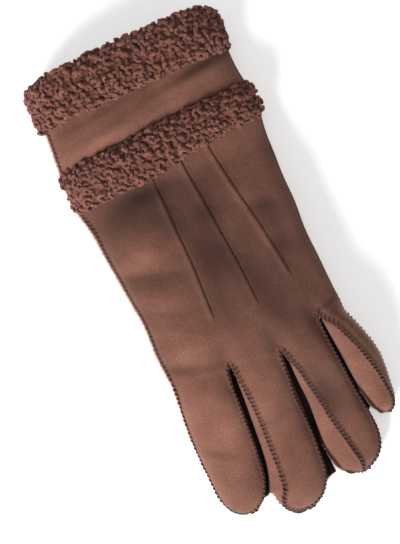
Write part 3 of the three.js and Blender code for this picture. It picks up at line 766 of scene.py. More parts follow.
def strip_base(k, side, start, end, hand_rows, finger_rows, inset):
    """One finger's strip of a panel, before its lips: rows from `start` to the fingertip, or to `end`."""
    share = (1 - np.cos(np.pi * np.linspace(0, 1, DENSE))) / 2
    way = np.linspace(0, 1, hand_rows + 1)[:, None]
    spots = []
    for line in (k, k + 1):
        stop = end(LINE_AT_WRIST[line]) if end else crotch_along(line) - inset
        along = lerp(start(LINE_AT_WRIST[line]), stop, way)
        spots.append((along, line_across(line, along)))
    along = lerp(spots[0][0], spots[1][0], share)
    across = lerp(spots[0][1], spots[1][1], share)
    base = hand_point(along, across, side, inset, k, share)
    # The folds' height, kept to paint them paler on their crests and darker in their dips
    painted_light_shade = fold_height(along, across)[..., None]
    alongs = np.concatenate([along[:, :1], along[:, -1:]], axis=1)
    if end is None:
        row = finger_rows[1:, None]
        base = np.concatenate([base, finger_point(k, row + 0 * share, share, side, inset)])
        tips = [finger_along(k, line, row, inset) for line in (k, k + 1)]
        alongs = np.concatenate([alongs, np.concatenate(tips, axis=1)])
        painted_light_shade = np.concatenate([painted_light_shade, painted_light_shade[-1:] * (1 - smooth(0, ROOT_SHARE, row))[..., None]])
    return np.concatenate([base, painted_light_shade], axis=-1), alongs


def add_lips(k, side, points, out, gaps, alongs, hand_rows, has_fingers):
    """Lifts the cloth into lips beside its seams and, on the back, into points along the inner lines."""
    for line, gap, edge, along in ((k, gaps[0], 0, alongs[:, :1]), (k + 1, gaps[1], -1, alongs[:, 1:])):
        up = out[:, edge][:, None]
        pulled = notches(points[:, edge], hand_rows) if has_fingers else 1
        if line in SIDE_LINES:
            points += (SIDE_LIP * pulled * lip(gap))[..., None] * up
            continue
        if has_fingers:
            before = np.maximum(0, crotch_along(line) - along)
            points += (pulled * lip(np.hypot(gap, before)))[..., None] * up
        if side == TOP and has_fingers:
            last = BACK_START + POINT_LENGTHS[line - 1]
            strength = (1 - smooth(last - POINT_FADE, last, along)) * (along < last)
            lift = POINT_HEIGHT * bell(gap, POINT_WIDTH)
            if edge == 0:
                lift = lift - CREASE_DEPTH * bell(gap - CREASE_AT, CREASE_WIDTH)
            points[..., 2] += strength * lift


print("height of a point and depth of its crease in mm:", POINT_HEIGHT / MM, CREASE_DEPTH / MM)

# %% One panel of the shell
COLUMNS, PALM_COLUMNS = 34, 28
HAND_ROWS, PALM_ROWS, CUFF_ROWS = 80, 90, 60
ROW_STEP, PALM_STEP = 0.8 * MM, 1.9 * MM
EDGE_WIDTH = 0.45 * MM
# Painted shade: a dark line just inside the index finger's side seam, and a dark rim along the little
# finger's side seam
INDEX_SHADE_AT = 1.6 * MM
INDEX_SHADE_WIDTH = 1.3 * MM
RIM_SHADE = 0.9
RIM_WIDTH = 1.1 * MM
# The fold height that gives the full painted light on a crest, or the full painted shade in a dip
FOLD_SHADE_HEIGHT = 8.0 * MM


def panel_shade(k, side, gaps, past):
    """Painted shade: how dark the cloth is painted beside the fingers' seams, and on the back in a dark line
    beside both side seams.
    """
    shade = past * seam_shade(np.minimum(*gaps))
    if k == INDEX and side == TOP:
        shade = np.maximum(shade, SEAM_SHADE * bell(gaps[0] - INDEX_SHADE_AT, INDEX_SHADE_WIDTH))
    if k == LITTLE and side == TOP:
        shade = np.maximum(shade, RIM_SHADE * bell(gaps[1], RIM_WIDTH))
    return shade


def make_panel(side, start, end=None, hand_rows=HAND_ROWS, row_step=ROW_STEP, columns=COLUMNS):
    """A panel's outer and inner points, its faces, the values stored with it, and each strip's own grid."""
    outer, inner, faces, grids = [], [], [], []
    values = {"edge": [], "painted_light_shade": [], "painted_shade": []}
    count = 0
    previous = None
    for k in FINGERS:
        finger_rows = even_rows(k, side, row_step)
        base, alongs = strip_base(k, side, start, end, hand_rows, finger_rows, 0)
        inside, _ = strip_base(k, side, start, end, hand_rows, finger_rows, WALL)
        points, *gaps = measured(base, columns)
        inside, _, _ = measured(inside[..., :3], columns)
        points, painted_light_shade = points[..., :3], points[..., 3]
        out = unit(points - inside)
        unlifted = points + swelling(points)[..., None] * out
        points = unlifted.copy()
        add_lips(k, side, points, out, gaps, alongs, hand_rows, end is None)
        points[..., 2] = np.maximum(points[..., 2], 0)
        numbers = count + number_grid(points)
        if previous is not None:
            numbers[: hand_rows + 1, 0] = previous[: hand_rows + 1, -1]
        if end is None:
            numbers[-1] = numbers[-1, 0]
        previous = numbers
        count += numbers.size
        faces += grid_faces(numbers)
        outer.append(points.reshape(-1, 3))
        inner.append(inside.reshape(-1, 3))
        # A metre is added to the gaps of the inner lines, so that only the side seams show a cut edge.
        near = np.minimum(gaps[0] + (k != INDEX), gaps[1] + (k != LITTLE))
        past = np.arange(len(points))[:, None] > hand_rows
        values["edge"].append(bell(near, EDGE_WIDTH).ravel())
        # Painted light and shade: paler on the folds' crests and darker in their dips, with the painted
        # patches on the back
        values["painted_light_shade"].append((painted_light_shade / FOLD_SHADE_HEIGHT + painted_patches(points) * (side == TOP)).ravel())
        values["painted_shade"].append(panel_shade(k, side, gaps, past).ravel())
        grids.append({"points": points, "base": unlifted, "out": out, "along": alongs})
    floats = {label: np.concatenate(parts) for label, parts in values.items()}
    return np.concatenate(outer), np.concatenate(inner), faces, floats, grids


print("a strip of the back has", COLUMNS, "columns, and", HAND_ROWS, "rows up to the crotch")

# %% What a piece stands for, and the edges beside the fleece
UPPER_EDGE_IN = (1.2 * MM, 3.6 * MM)
LOWER_EDGE_UP = 5.0 * MM
TUCKED_IN = 1.0 * MM


def stand_in(piece, slot, *nodes):
    """Says which body a piece rides on and hides the CAD nodes it stands for. `slot`, whose finish it would
    take, is not used.
    """
    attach(piece, "root")
    if nodes:
        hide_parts(*nodes)
    print(f"{piece.name}: {sum(len(p.vertices) - 2 for p in piece.data.polygons)} triangles")
    return piece


def mouth_edge(share):
    """The edge of a panel beside the fleece of the mouth, the same at every share across the sleeve."""
    return CUFF_TRIM_LENGTH


def band_start(share):
    """The upper edge of the fleece band on the wrist."""
    return WRIST_START + WRIST_LEAN * (0.5 - share) + lerp(*UPPER_EDGE_IN, share)


def cuff_end(share):
    return band_start(share) + TUCKED_IN


def back_edge(share):
    return BACK_START - WRIST_LEAN / 2 * np.maximum(0, share - 0.5) - LOWER_EDGE_UP * smooth(0.3, 0.8, share)


print("the wrist band starts", round(band_start(0.5) / MM, 1), "mm from the mouth")

# %% The back
outer, inner, faces, floats, back_grids = make_panel(TOP, back_edge)
back = closed_sheet("back_suede", outer, inner, faces, suede, floats)
stand_in(back, "suede", "back_panel")

# %% The cuff panel
TUCK_DEPTH = 3.5 * MM
TUCK_WIDTH = 1.2 * MM
TUCK_SHADE = 0.95

outer, inner, faces, floats, cuff_grids = make_panel(TOP, mouth_edge, cuff_end, CUFF_ROWS)
share = (outer[:, 0] - MIDDLE_X) / SLEEVE_WIDTH + 0.5
to_band = band_start(share) - (MOUTH_Y - outer[:, 1]) - TUCKED_IN
# The panel tucks in under the fleece band, but not right beside the index finger's side seam.
tuck = bell(np.maximum(to_band, 0), TUCK_WIDTH) * smooth(0.02, 0.08, share)
outer[:, 2] -= TUCK_DEPTH * tuck
# Painted shade in the crease where the panel tucks under the fleece band
floats["painted_shade"] = np.maximum(floats["painted_shade"], TUCK_SHADE * smooth(0.3, 0.8, tuck))
cuff = closed_sheet("cuff_suede", outer, inner, faces, suede, floats)
stand_in(cuff, "suede", "cuff_panel")

# %% [markdown]
# ## The thumb and its hole in the palm
#
# The thumb is a sock of the same cloth, set into an oval hole in the palm, and here it lies under the palm.
# Its rings start flat in the hole and swing round until they stand across the thumb. The hole itself is cut
# through the palm with an oval post and a Boolean, because the hole crosses the palm's grid at a slant.

# %% The oval hole
THUMB_LENGTH = 93 * MM
THUMB_WIDTH = 33 * MM
THUMB_HOLE = (72 * MM, 32 * MM)
THUMB_X = 32 * MM - HAND_WIDTH / 2
THUMB_ALONG = 118 * MM
THUMB_TURN = np.radians(20)


def thumb_place(far, wide):
    x = THUMB_X + far * np.sin(THUMB_TURN) + wide * np.cos(THUMB_TURN)
    return x, THUMB_ALONG + far * np.cos(THUMB_TURN) - wide * np.sin(THUMB_TURN)


def oval(angle, grow):
    return thumb_place((THUMB_HOLE[0] / 2 + grow) * np.sin(angle), (THUMB_HOLE[1] / 2 + grow) * np.cos(angle))


def palm_height(x, along, out):
    middle, half, low, depth = hand_section(along)
    across = np.clip(((x - middle) / (half + out) + 1) / 2, 0, 1)
    return low + depth / 2 - (depth / 2 + out) * roundness(across, BOTTOM)


print("the thumb's hole is", round(THUMB_HOLE[0] / MM), "by", round(THUMB_HOLE[1] / MM), "mm")

# %% The palm
HOLE_SIDES = 72


def bake(piece):
    """Turns what the modifiers make of a piece into its own plain mesh."""
    bpy.context.view_layer.update()
    seen = piece.evaluated_get(bpy.context.evaluated_depsgraph_get())
    mesh = bpy.data.meshes.new_from_object(seen)
    piece.modifiers.clear()
    piece.data = mesh


def cut_hole(palm):
    x, along = oval(np.linspace(0, 2 * np.pi, HOLE_SIDES, endpoint=False), SEAM)
    rings = np.array([place(x, along, z) for z in (-HAND_DEPTH / 3, PALM_LIFT + HAND_DEPTH / 3)])
    numbers = number_grid(rings)
    faces = grid_faces(numbers, closed=True) + numbers.tolist()
    post = add_piece("hole_post", rings.reshape(-1, 3), faces, suede)
    cutter = palm.modifiers.new("hole", "BOOLEAN")
    cutter.operation, cutter.solver, cutter.object = "DIFFERENCE", "EXACT", post
    bake(palm)
    bpy.data.objects.remove(post)


palm_grid = {"hand_rows": PALM_ROWS, "row_step": PALM_STEP, "columns": PALM_COLUMNS}
outer, inner, faces, floats, palm_grids = make_panel(BOTTOM, mouth_edge, **palm_grid)
palm = closed_sheet("palm_suede", outer, inner, faces, suede, floats)
cut_hole(palm)
stand_in(palm, "suede", "palm_panel")

# %% The thumb
THUMB_RINGS = table(
    "at upper lower sink width",
    (0, 0.385, -0.375, 0.3, 0.98),
    (1, 0.4, -0.33, 0.68, 0.99),
    (2, 0.42, -0.22, 0.96, 1.0),
    (3, 0.45, -0.05, 1.0, 1.0),
    (4, 0.5, 0.16, 1.0, 1.0),
    (5, 0.57, 0.38, 1.0, 1.0),
    (6, 0.66, 0.57, 1.0, 0.99),
    (7, 0.76, 0.73, 1.0, 0.96),
)
THUMB_SIDES = 64
THUMB_RING_COUNT = 36
THUMB_TIP_COUNT = 14
THUMB_CEILING = PALM_LIFT - SEAM
# How much nearer the inner face comes to the far end of a ring that has sunk, as a share of the wall
FAR_END_EASE = 0.4


def thumb_face(inset):
    """Rows of points round the thumb, from the rim of the hole to the tip."""
    angle = np.linspace(0, 2 * np.pi, THUMB_SIDES, endpoint=False)
    up = (np.sin(angle) + 1) / 2
    x, along = oval(angle, -inset)
    rows = [place(x, along, palm_height(x, along, out) - SEAM / 2) for out in (-WALL, 0)]
    for at in np.linspace(0, THUMB_RINGS["at"][-1], THUMB_RING_COUNT):
        ring = {name: float(np.interp(at, THUMB_RINGS["at"], THUMB_RINGS[name])) for name in THUMB_RINGS}
        upper = THUMB_LENGTH * ring["upper"] - inset * (1 - FAR_END_EASE * ring["sink"])
        lower = THUMB_LENGTH * ring["lower"] + inset
        wide = (THUMB_WIDTH / 2 - inset) * ring["width"] * np.cos(angle)
        x, along = thumb_place(lerp(lower, upper, up), wide)
        ceiling = min(THUMB_CEILING, palm_height(*thumb_place(upper, 0), 0) - SEAM)
        floor = lerp(palm_height(*thumb_place(lower, 0), 0), -PRESSED, ring["sink"]) + inset * ring["sink"]
        rows.append(place(x, along, np.maximum(lerp(floor, ceiling - inset, up), inset)))
    last = {name: column[-1] for name, column in THUMB_RINGS.items()}
    start = THUMB_LENGTH * (last["upper"] + last["lower"]) / 2
    half_depth = (THUMB_CEILING + PRESSED) / 2 - inset
    for way in np.sin(np.linspace(0, np.pi / 2, THUMB_TIP_COUNT + 1))[1:]:
        wide = (THUMB_WIDTH / 2 - inset) * last["width"] * np.sqrt(1 - way * way) * np.cos(angle)
        x, along = thumb_place(lerp(start, THUMB_LENGTH - inset, way), wide)
        z = THUMB_CEILING - half_depth - inset + half_depth * np.sqrt(1 - way**3) * np.sin(angle)
        rows.append(place(x, along, np.maximum(z, inset)))
    return np.array(rows)


thumb_outer, thumb_inner = thumb_face(0), thumb_face(WALL)
numbers = number_grid(thumb_outer)
numbers[-1] = numbers[-1, 0]
faces = grid_faces(numbers, closed=True)
floats = {"edge": np.zeros(numbers.size), "painted_light_shade": np.zeros(numbers.size)}
thumb = closed_sheet("thumb_suede", thumb_outer, thumb_inner, faces, suede, floats)
stand_in(thumb, "suede", "thumb")

# %% [markdown]
# ## The fourchettes
#
# A fourchette is the strip that gives a finger its side. It runs in along one finger, round the crotch and
# out along the next, and both its edges are sewn into lips with the back and the palm. Its rows are the
# back's own rows, so the lips meet.

# %% The face of a side strip
STRIP_COLUMNS = 26
SLIT_OPENS = 3 * MM
SLIT_TOUCH = 0.4 * MM
MOST_ROUNDED = 5 * MM
TURN_ROWS = (0.4, 0.7)


def strip_face(k, inset):
    """Rows in along finger k - 1, round the crotch, and out along finger k.

    Also gives values for each row: how far it leans towards its neighbour, how closed the slit is, the side
    of the finger, how far its lower seam turns into sight, and the strength of both its lips."""
    share = np.linspace(0, 1, DENSE)
    shorter = min(FINGER_LENGTHS[k - 1], FINGER_LENGTHS[k])
    rows, leans = [], []
    for finger, hand in ((k - 1, RIGHT), (k, LEFT)):
        row = even_rows(finger, TOP, ROW_STEP)[:, None] + 0 * share
        along = finger_along(finger, k, row, inset)
        top, bottom = seam_angle(finger, TOP, hand, row), seam_angle(finger, BOTTOM, hand, row)
        if hand == RIGHT:
            bottom = bottom - 2 * np.pi
        tube = tube_point(finger, along, lerp(top, bottom, share), inset)
        web = [web_point(finger, along, float(hand), way, inset) for way in (TOP, BOTTOM)]
        web = lerp(web[0], web[1], share[:, None])
        face = lerp(web, tube, smooth(0, ROOT_SHARE, row)[..., None])
        here = along[:, 0]
        slit = SLIT * read(OPENING, (here - KNUCKLES) / MIDDLE_LENGTH, f"slit{k}")
        slit = slit * smooth(0, SLIT, here - crotch_along(k))
        first_x, first_half, _, _ = finger_section(k - 1, here, 0)
        second_x, second_half, _, _ = finger_section(k, here, 0)
        rounded = np.clip(second_x - second_half - first_x - first_half - slit, 0, MOST_ROUNDED) / 2
        end = KNUCKLES + shorter - SLIT_OPENS
        closed = 1 - smooth(end - SLIT_OPENS, end, here)
        lean = closed * (slit + SLIT_TOUCH + rounded) if hand == RIGHT else -closed * rounded
        pick = slice(None, None, -1) if hand == RIGHT else slice(1, None)
        turned = smooth(*TURN_ROWS, row[:, 0]) * ((finger, BOTTOM, hand) in SEAM_TURNS)
        pulled = [notches(face[:, edge], 0)[:, 0] for edge in (0, -1)]
        rows.append(face[pick])
        leans.append(np.stack([lean, closed, here * 0 + hand, turned, *pulled], axis=-1)[pick])
    return np.concatenate(rows), np.concatenate(leans)


print("a strip closes its slit up to", round(SLIT_OPENS / MM), "mm before the shorter fingertip")

# %% Three side strips
# Shares of the way down a strip: where it leans out, and where it comes back to its lower seam
LEAN_OUT = (0.2, 0.6)
LEAN_BACK = (0.8, 1)
# Where the painted shade starts on a side turned from the light, on a side that faces it, and above a turned
# seam
SHADE_AWAY, SHADE_FACING, SHADE_TURNED = 0.05, 0.5, 0.8
SHADE_FADE, SHADE_FADE_TURNED = 0.25, 0.12
SIDE_SHADE = 0.97


def make_fourchette(k, name, node):
    base, leans = strip_face(k, 0)
    lean, closed, hand, turned, *pulled = leans.T
    points, *gaps = measured(base, STRIP_COLUMNS)
    inside, _, _ = measured(strip_face(k, WALL)[0], STRIP_COLUMNS)
    out = unit(points - inside)
    down = gaps[0] / np.maximum(gaps[0] + gaps[1], 1e-9)
    points[..., 0] += lean[:, None] * smooth(*LEAN_OUT, down) * (1 - smooth(*LEAN_BACK, down))
    # Painted shade deep in a closed slit, and below a seam that turns into sight
    fade = lerp(SHADE_FADE, SHADE_FADE_TURNED, turned)[:, None]
    shade_from = np.where(hand == RIGHT, SHADE_AWAY, lerp(SHADE_FACING, SHADE_TURNED, turned))[:, None]
    painted_shade = np.maximum(closed, turned)[:, None] * smooth(shade_from, shade_from + fade, down)
    for gap, edge, strength in zip(gaps, (0, -1), pulled):
        points = points + (strength[:, None] * lip(gap))[..., None] * out[:, edge][:, None]
    points[..., 2] = np.maximum(points[..., 2], 0)
    numbers = number_grid(points)
    numbers[0], numbers[-1] = numbers[0, 0], numbers[-1, 0]
    painted_shade = np.maximum(SIDE_SHADE * painted_shade, seam_shade(np.minimum(*gaps)))
    floats = {"painted_shade": painted_shade.ravel(), "painted_light_shade": np.zeros(painted_shade.size)}
    piece = closed_sheet(name, points, inside, grid_faces(numbers), suede, floats)
    return stand_in(piece, "suede", node)


for k, neighbours in enumerate(("index_middle", "middle_ring", "ring_little"), 1):
    make_fourchette(k, f"fourchette_{neighbours}_suede", f"fourchette_{neighbours}")

# %% [markdown]
# ## Whip stitches
#
# One thread wraps every seam: it goes through both lips, over their crests and through again a little
# further on. Seen from outside it is a row of short arches, all leaning the same way. Geometry Nodes suit
# this well: a list of places with two directions each goes in, one arch of thread is put on each place, and
# the whole becomes a plain mesh.

# %% Helpers for node trees
def new_tree(name, **sizes):
    """An empty geometry tree with named number inputs, its input sockets and its output node."""
    tree = bpy.data.node_groups.new(name, "GeometryNodeTree")
    tree.interface.new_socket("Geometry", in_out="INPUT", socket_type="NodeSocketGeometry")
    for label, value in sizes.items():
        kind = "NodeSocketInt" if isinstance(value, int) else "NodeSocketFloat"
        socket = tree.interface.new_socket(label.replace("_", " "), in_out="INPUT", socket_type=kind)
        socket.default_value = value
    tree.interface.new_socket("Geometry", in_out="OUTPUT", socket_type="NodeSocketGeometry")
    return tree, tree.nodes.new("NodeGroupInput").outputs, tree.nodes.new("NodeGroupOutput")


def named_attribute(tree, name, kind):
    node = add_node(tree, "GeometryNodeInputNamedAttribute", Name=name)
    node.data_type = kind
    return node.outputs["Attribute"]


def negative(tree, value):
    node = tree.nodes.new("ShaderNodeMath")
    node.operation = "MULTIPLY"
    tree.links.new(value, node.inputs[0])
    node.inputs[1].default_value = -1
    return node.outputs["Value"]


def chance(tree, low, high, seed):
    """A random number between two limits, another one for each place."""
    node = add_node(tree, "FunctionNodeRandomValue", Seed=seed)
    node.data_type = "FLOAT"
    node.inputs[2].default_value = low
    node.inputs[3].default_value = high
    return node.outputs[1]


def round_strand(tree, curve, sides, radius):
    """Gives a curve a round section and closes its ends."""
    profile = add_node(tree, "GeometryNodeCurvePrimitiveCircle", Resolution=sides, Radius=radius)
    section = {"Profile_Curve": profile.outputs["Curve"], "Fill_Caps": True}
    return add_node(tree, "GeometryNodeCurveToMesh", Curve=curve, **section).outputs["Mesh"]


def on_places(tree, places, instance, rotation, scale):
    """Sets a copy of one shape on each place."""
    how = {"Instance": instance, "Rotation": rotation, "Scale": scale}
    return add_node(tree, "GeometryNodeInstanceOnPoints", Points=places, **how).outputs["Instances"]


def finish_tree(tree, output, shape, material):
    """Makes the copies real, shades them smooth and gives them their material."""
    realized = add_node(tree, "GeometryNodeRealizeInstances", Geometry=shape)
    smoothed = add_node(tree, "GeometryNodeSetShadeSmooth", Geometry=realized.outputs["Geometry"])
    painted = add_node(tree, "GeometryNodeSetMaterial", Geometry=smoothed.outputs["Geometry"])
    painted.inputs["Material"].default_value = material
    tree.links.new(painted.outputs["Geometry"], output.inputs[0])


def run_tree(piece, tree):
    """Runs a tree on a piece and turns the result into the piece's own plain mesh."""
    piece.modifiers.new(tree.name, "NODES").node_group = tree
    bake(piece)


print("colours, shapes and places are ready for the trees")

# %% A node tree that sets one arch of thread on each place
STITCH_SIZES = (0.88, 1.12)
ARCH_STEPS = 8
THREAD_SIDES = 6


def stitch_tree(name, material, **sizes):
    """Arches of thread. `along` and `up` are stored with each place, the arch stands across `along`."""
    tree, given, output = new_tree(name, **sizes)
    lean, reach, sink = given["Lean"], given["Reach"], negative(tree, given["Sink"])
    start = add_node(tree, "ShaderNodeCombineXYZ", X=negative(tree, lean), Y=negative(tree, reach), Z=sink)
    crown = add_node(tree, "ShaderNodeCombineXYZ", Z=given["Rise"])
    end = add_node(tree, "ShaderNodeCombineXYZ", X=lean, Y=reach, Z=sink)
    arch = add_node(
        tree,
        "GeometryNodeCurveQuadraticBezier",
        Resolution=ARCH_STEPS,
        Start=start.outputs["Vector"],
        Middle=crown.outputs["Vector"],
        End=end.outputs["Vector"],
    )
    strand = round_strand(tree, arch.outputs["Curve"], THREAD_SIDES, given["Thread radius"])
    turned = tree.nodes.new("FunctionNodeAxesToRotation")
    turned.primary_axis, turned.secondary_axis = "Z", "X"
    tree.links.new(named_attribute(tree, "up", "FLOAT_VECTOR"), turned.inputs[0])
    tree.links.new(named_attribute(tree, "along", "FLOAT_VECTOR"), turned.inputs[1])
    size = chance(tree, *STITCH_SIZES, given["Seed"])
    stitches = on_places(tree, given["Geometry"], strand, turned.outputs["Rotation"], size)
    finish_tree(tree, output, stitches, material)
    return tree


whip = stitch_tree(
    "Whip stitches",
    thread,
    Reach=1.4 * MM,
    Rise=2.6 * MM,
    Lean=0.45 * MM,
    Sink=0.1 * MM,
    Thread_radius=0.42 * MM,
    Seed=3,
)
print("nodes in the tree of a stitch:", len(whip.nodes))

# %% Places for the stitches along the seams
# Both side seams: finger, edge column, how far the thread is set outwards and upwards, and its tilt upwards
SIDE_SEAMS = (
    (INDEX, 0, -0.8 * MM, 1.1 * MM, 0.9),
    (LITTLE, -1, -1.2 * MM, -1.6 * MM, -0.9),
)
# On a side turned from the light the thread is seen lying on the back, three columns in from the seam.
NEAR_SEAM = -4
# The stitched rows of the palm's fingers: a few are left out past the crotch and at the tip
PALM_SEAM_ROWS = (PALM_ROWS + 6, -14)
THUMB_SEAM_START = 4
OVAL_STEPS = 200


def spaced(points, ups, pitch):
    """Places every `pitch` along a line of points, with the line's direction and its outward direction."""
    arc = arc_length(points)
    wanted = np.arange(pitch / 2, arc[-1], pitch)
    ahead, behind = along_line(points, arc, wanted + pitch / 4), along_line(points, arc, wanted - pitch / 4)
    return along_line(points, arc, wanted), unit(ahead - behind), unit(along_line(ups, arc, wanted))


def stitch_places(name, lines):
    """A mesh of loose points, one for each stitch, that carries the two directions."""
    spots, along, up = (np.concatenate(part) for part in zip(*lines))
    mesh = bpy.data.meshes.new(name)
    mesh.from_pydata([tuple(p) for p in spots], [], [])
    for label, vectors in (("along", along), ("up", up)):
        layer = mesh.attributes.new(label, "FLOAT_VECTOR", "POINT")
        layer.data.foreach_set("vector", np.ascontiguousarray(vectors, dtype=np.float32).ravel())
    return link_object(name, mesh)


def seam_lines(grids, right_edge, rows):
    """Places along both sides of the three slits of a panel, within some of its rows."""
    edges = [(k, right_edge) for k in FINGERS[:-1]] + [(k, 0) for k in FINGERS[1:]]
    picked = [(grids[k]["base"][rows, edge], grids[k]["out"][rows, edge]) for k, edge in edges]
    return [spaced(points, ups, STITCH_PITCH) for points, ups in picked]


def side_lines(grids, first):
    """Places along both side seams of a panel, up to the crotch and past it apart."""
    lines = []
    for k, edge, outwards, lift, tilt in SIDE_SEAMS:
        points, out = grids[k]["base"][:, edge].copy(), grids[k]["out"][:, edge].copy()
        points += outwards * out
        points[:, 2] += lift
        out[:, 2] += tilt
        out = unit(out)
        lines.append(spaced(points[first:], out[first:], STITCH_PITCH))
        if first:
            lines.append(spaced(points[: first + 1], out[: first + 1], STITCH_PITCH))
    return lines


lines = seam_lines(back_grids, NEAR_SEAM, slice(HAND_ROWS, None))
lines += seam_lines(palm_grids, -1, slice(*PALM_SEAM_ROWS))
lines += side_lines(back_grids, HAND_ROWS) + side_lines(cuff_grids, 0)
oval_x, oval_along = oval(np.linspace(0, 2 * np.pi, OVAL_STEPS), SEAM / 2)
oval_line = place(oval_x, oval_along, palm_height(oval_x, oval_along, 0))
lines.append(spaced(oval_line, np.tile([0.0, 0.0, -1.0], (OVAL_STEPS, 1)), STITCH_PITCH))
thumb_out = unit(thumb_outer - thumb_inner)
for column in (0, THUMB_SIDES // 2):
    points, out = thumb_outer[THUMB_SEAM_START:, column], thumb_out[THUMB_SEAM_START:, column]
    lines.append(spaced(points, out, STITCH_PITCH))
stitches = stitch_places("whip_stitches", lines)
print("stitches:", len(stitches.data.vertices), "on", len(lines), "lines")
run_tree(stitches, whip)
stand_in(stitches, "suede")

# %% [markdown]
# ## The raw edge on the index side
#
# The cloth is cut, not hemmed. On the side seam below the index finger the palm's cut edge looks out as a
# thin pale line, because the ground of the cloth is paler than its nap. It is a thin tube along the seam. A
# path of points goes into a tree that turns it into a curve and gives the curve a round section.

# %% A tube along a path
RAW_EDGE_DARK = (0.30, 0.17, 0.14, 1)
RAW_EDGE_LIGHT = (0.75, 0.54, 0.48, 1)
RAW_EDGE_START = 10 * MM
RAW_EDGE_OUT = 1.2 * MM
RAW_EDGE_DROP = 0.3 * MM
RAW_EDGE_STEPS = 160
RAW_EDGE_ROWS = 44
RAW_EDGE_FIBRES = 900
TUBE_SIDES = 8


def make_raw_edge_material():
    material, surface = shader("raw edge", 0.9, sheen=0.2)
    tree = material.node_tree
    fibres = spread(tree, noise(tree, object_coordinates(tree), RAW_EDGE_FIBRES, 3))
    tree.links.new(blend_colours(tree, fibres, RAW_EDGE_DARK, RAW_EDGE_LIGHT), surface.inputs["Base Color"])
    return material


def tube_tree(name, material, **sizes):
    tree, given, output = new_tree(name, **sizes)
    line = add_node(tree, "GeometryNodeMeshToCurve", Mesh=given["Geometry"])
    tube = round_strand(tree, line.outputs["Curve"], TUBE_SIDES, given["Tube radius"])
    finish_tree(tree, output, tube, material)
    return tree


along = np.linspace(RAW_EDGE_START, crotch_along(0), RAW_EDGE_STEPS)
side_path = hand_point(along, 0 * along, TOP, 0)
side_path[:, 0] -= RAW_EDGE_OUT + swelling(side_path)
index_rows = np.arange(HAND_ROWS + 1, HAND_ROWS + RAW_EDGE_ROWS)
index_path = (back_grids[INDEX]["base"] + RAW_EDGE_OUT * back_grids[INDEX]["out"])[index_rows, 0]
path = np.concatenate([side_path, index_path])
path[:, 2] -= RAW_EDGE_DROP
mesh = bpy.data.meshes.new("raw_edge")
mesh.from_pydata([tuple(p) for p in path], [(i, i + 1) for i in range(len(path) - 1)], [])
raw_edge = link_object("raw_edge", mesh)
run_tree(raw_edge, tube_tree("Raw edge", make_raw_edge_material(), Tube_radius=0.85 * MM))
stand_in(raw_edge, "suede")

# %% [markdown]
# ## The stitches of the three points
#
# Each point is held by a straight row of small stitches that lies in the crease beside the raised fold. The
# places come from the back's own grid, at the column that runs through the crease.

# %% Stitches in the creases
POINT_PITCH = 3.0 * MM


def point_line(k):
    grid = back_grids[k]
    column = int(np.argmin(np.abs(EDGE_STEPS - CREASE_AT)))
    rows = grid["along"][:, 0] < BACK_START + POINT_LENGTHS[k - 1] - POINT_FADE / 3
    spots, along, up = spaced(grid["points"][rows, column], grid["out"][rows, column], POINT_PITCH)
    return spots, np.cross(up, along), up


crease_tree = stitch_tree(
    "Point stitches",
    thread,
    Reach=0.9 * MM,
    Rise=0.5 * MM,
    Lean=0.0,
    Sink=0.2 * MM,
    Thread_radius=0.2 * MM,
    Seed=5,
)
creases = stitch_places("point_stitches", [point_line(k) for k in FINGERS[1:]])
run_tree(creases, crease_tree)
stand_in(creases, "suede")

# %% [markdown]
# ## The fleece
#
# The fleece is a knitted back with a pile that curls into small knots. Two layers give that look. The band
# itself is a rounded roll with knots pressed into its surface, each a small dome round a random place. Over
# it lie many short curls of yarn, set by Geometry Nodes at random places that keep their distance.

# %% Knots in a fine grid
KNOT_SPACING = 3.4 * MM
KNOT_HEIGHT = 1.5 * MM
# The radius of a dome as a share of the spacing, how far the grid sinks between them, and their sizes
KNOT_WIDTH = 0.78
KNOT_SINK = 0.4
KNOT_SIZES = (0.7, 1.25)


def scattered(flat, spacing, seed):
    """Numbers of points picked in a random order, all of them further apart than the spacing."""
    taken = {}
    steps = range(-2, 3)
    for i in np.random.default_rng(seed).permutation(len(flat)):
        x, y, z = (flat[i] // (spacing / 2)).astype(int)
        near = [taken.get((x + a, y + b, z + c), []) for a in steps for b in steps for c in steps]
        if all(np.sum((flat[i] - flat[j]) ** 2) > spacing**2 for group in near for j in group):
            taken.setdefault((x, y, z), []).append(i)
    return [i for group in taken.values() for i in group]


def search_tree(places):
    """A tree that finds the nearest of many places."""
    tree = kdtree.KDTree(len(places))
    for number, spot in enumerate(places):
        tree.insert(spot, number)
    tree.balance()
    return tree


def knots(points, normals, height, seed):
    """Pushes a fine grid out into domes round scattered places. Gives the points and the domes' heights."""
    flat = points.reshape(-1, 3)
    sites = scattered(flat, KNOT_SPACING, seed)
    tree = search_tree(flat[sites])
    _, nearest, distance = (np.array(part) for part in zip(*[tree.find(p) for p in flat]))
    dome = np.sqrt(np.clip(1 - (distance / (KNOT_WIDTH * KNOT_SPACING)) ** 2, 0, 1))
    sizes = np.random.default_rng(seed + 1).uniform(*KNOT_SIZES, len(sites))
    dome = dome * sizes[nearest]
    moved = flat + (height * (dome - KNOT_SINK))[:, None] * normals.reshape(-1, 3)
    return moved.reshape(points.shape), dome.reshape(points.shape[:2])


print("knots lie at least", round(KNOT_SPACING / MM, 1), "mm apart")

# %% The section of a band, and its grid
FLEECE_STEP = 0.75 * MM
# How far the knots' tops are painted from the painted shade towards the tip colour
BAND_TONE = 0.6


def grid_normals(points, closed):
    """The outward direction at every point of a grid."""
    by_row = np.gradient(points, axis=0)
    if closed:
        by_column = (np.roll(points, -1, axis=1) - np.roll(points, 1, axis=1)) / 2
    else:
        by_column = np.gradient(points, axis=1)
    return unit(np.cross(by_column, by_row))


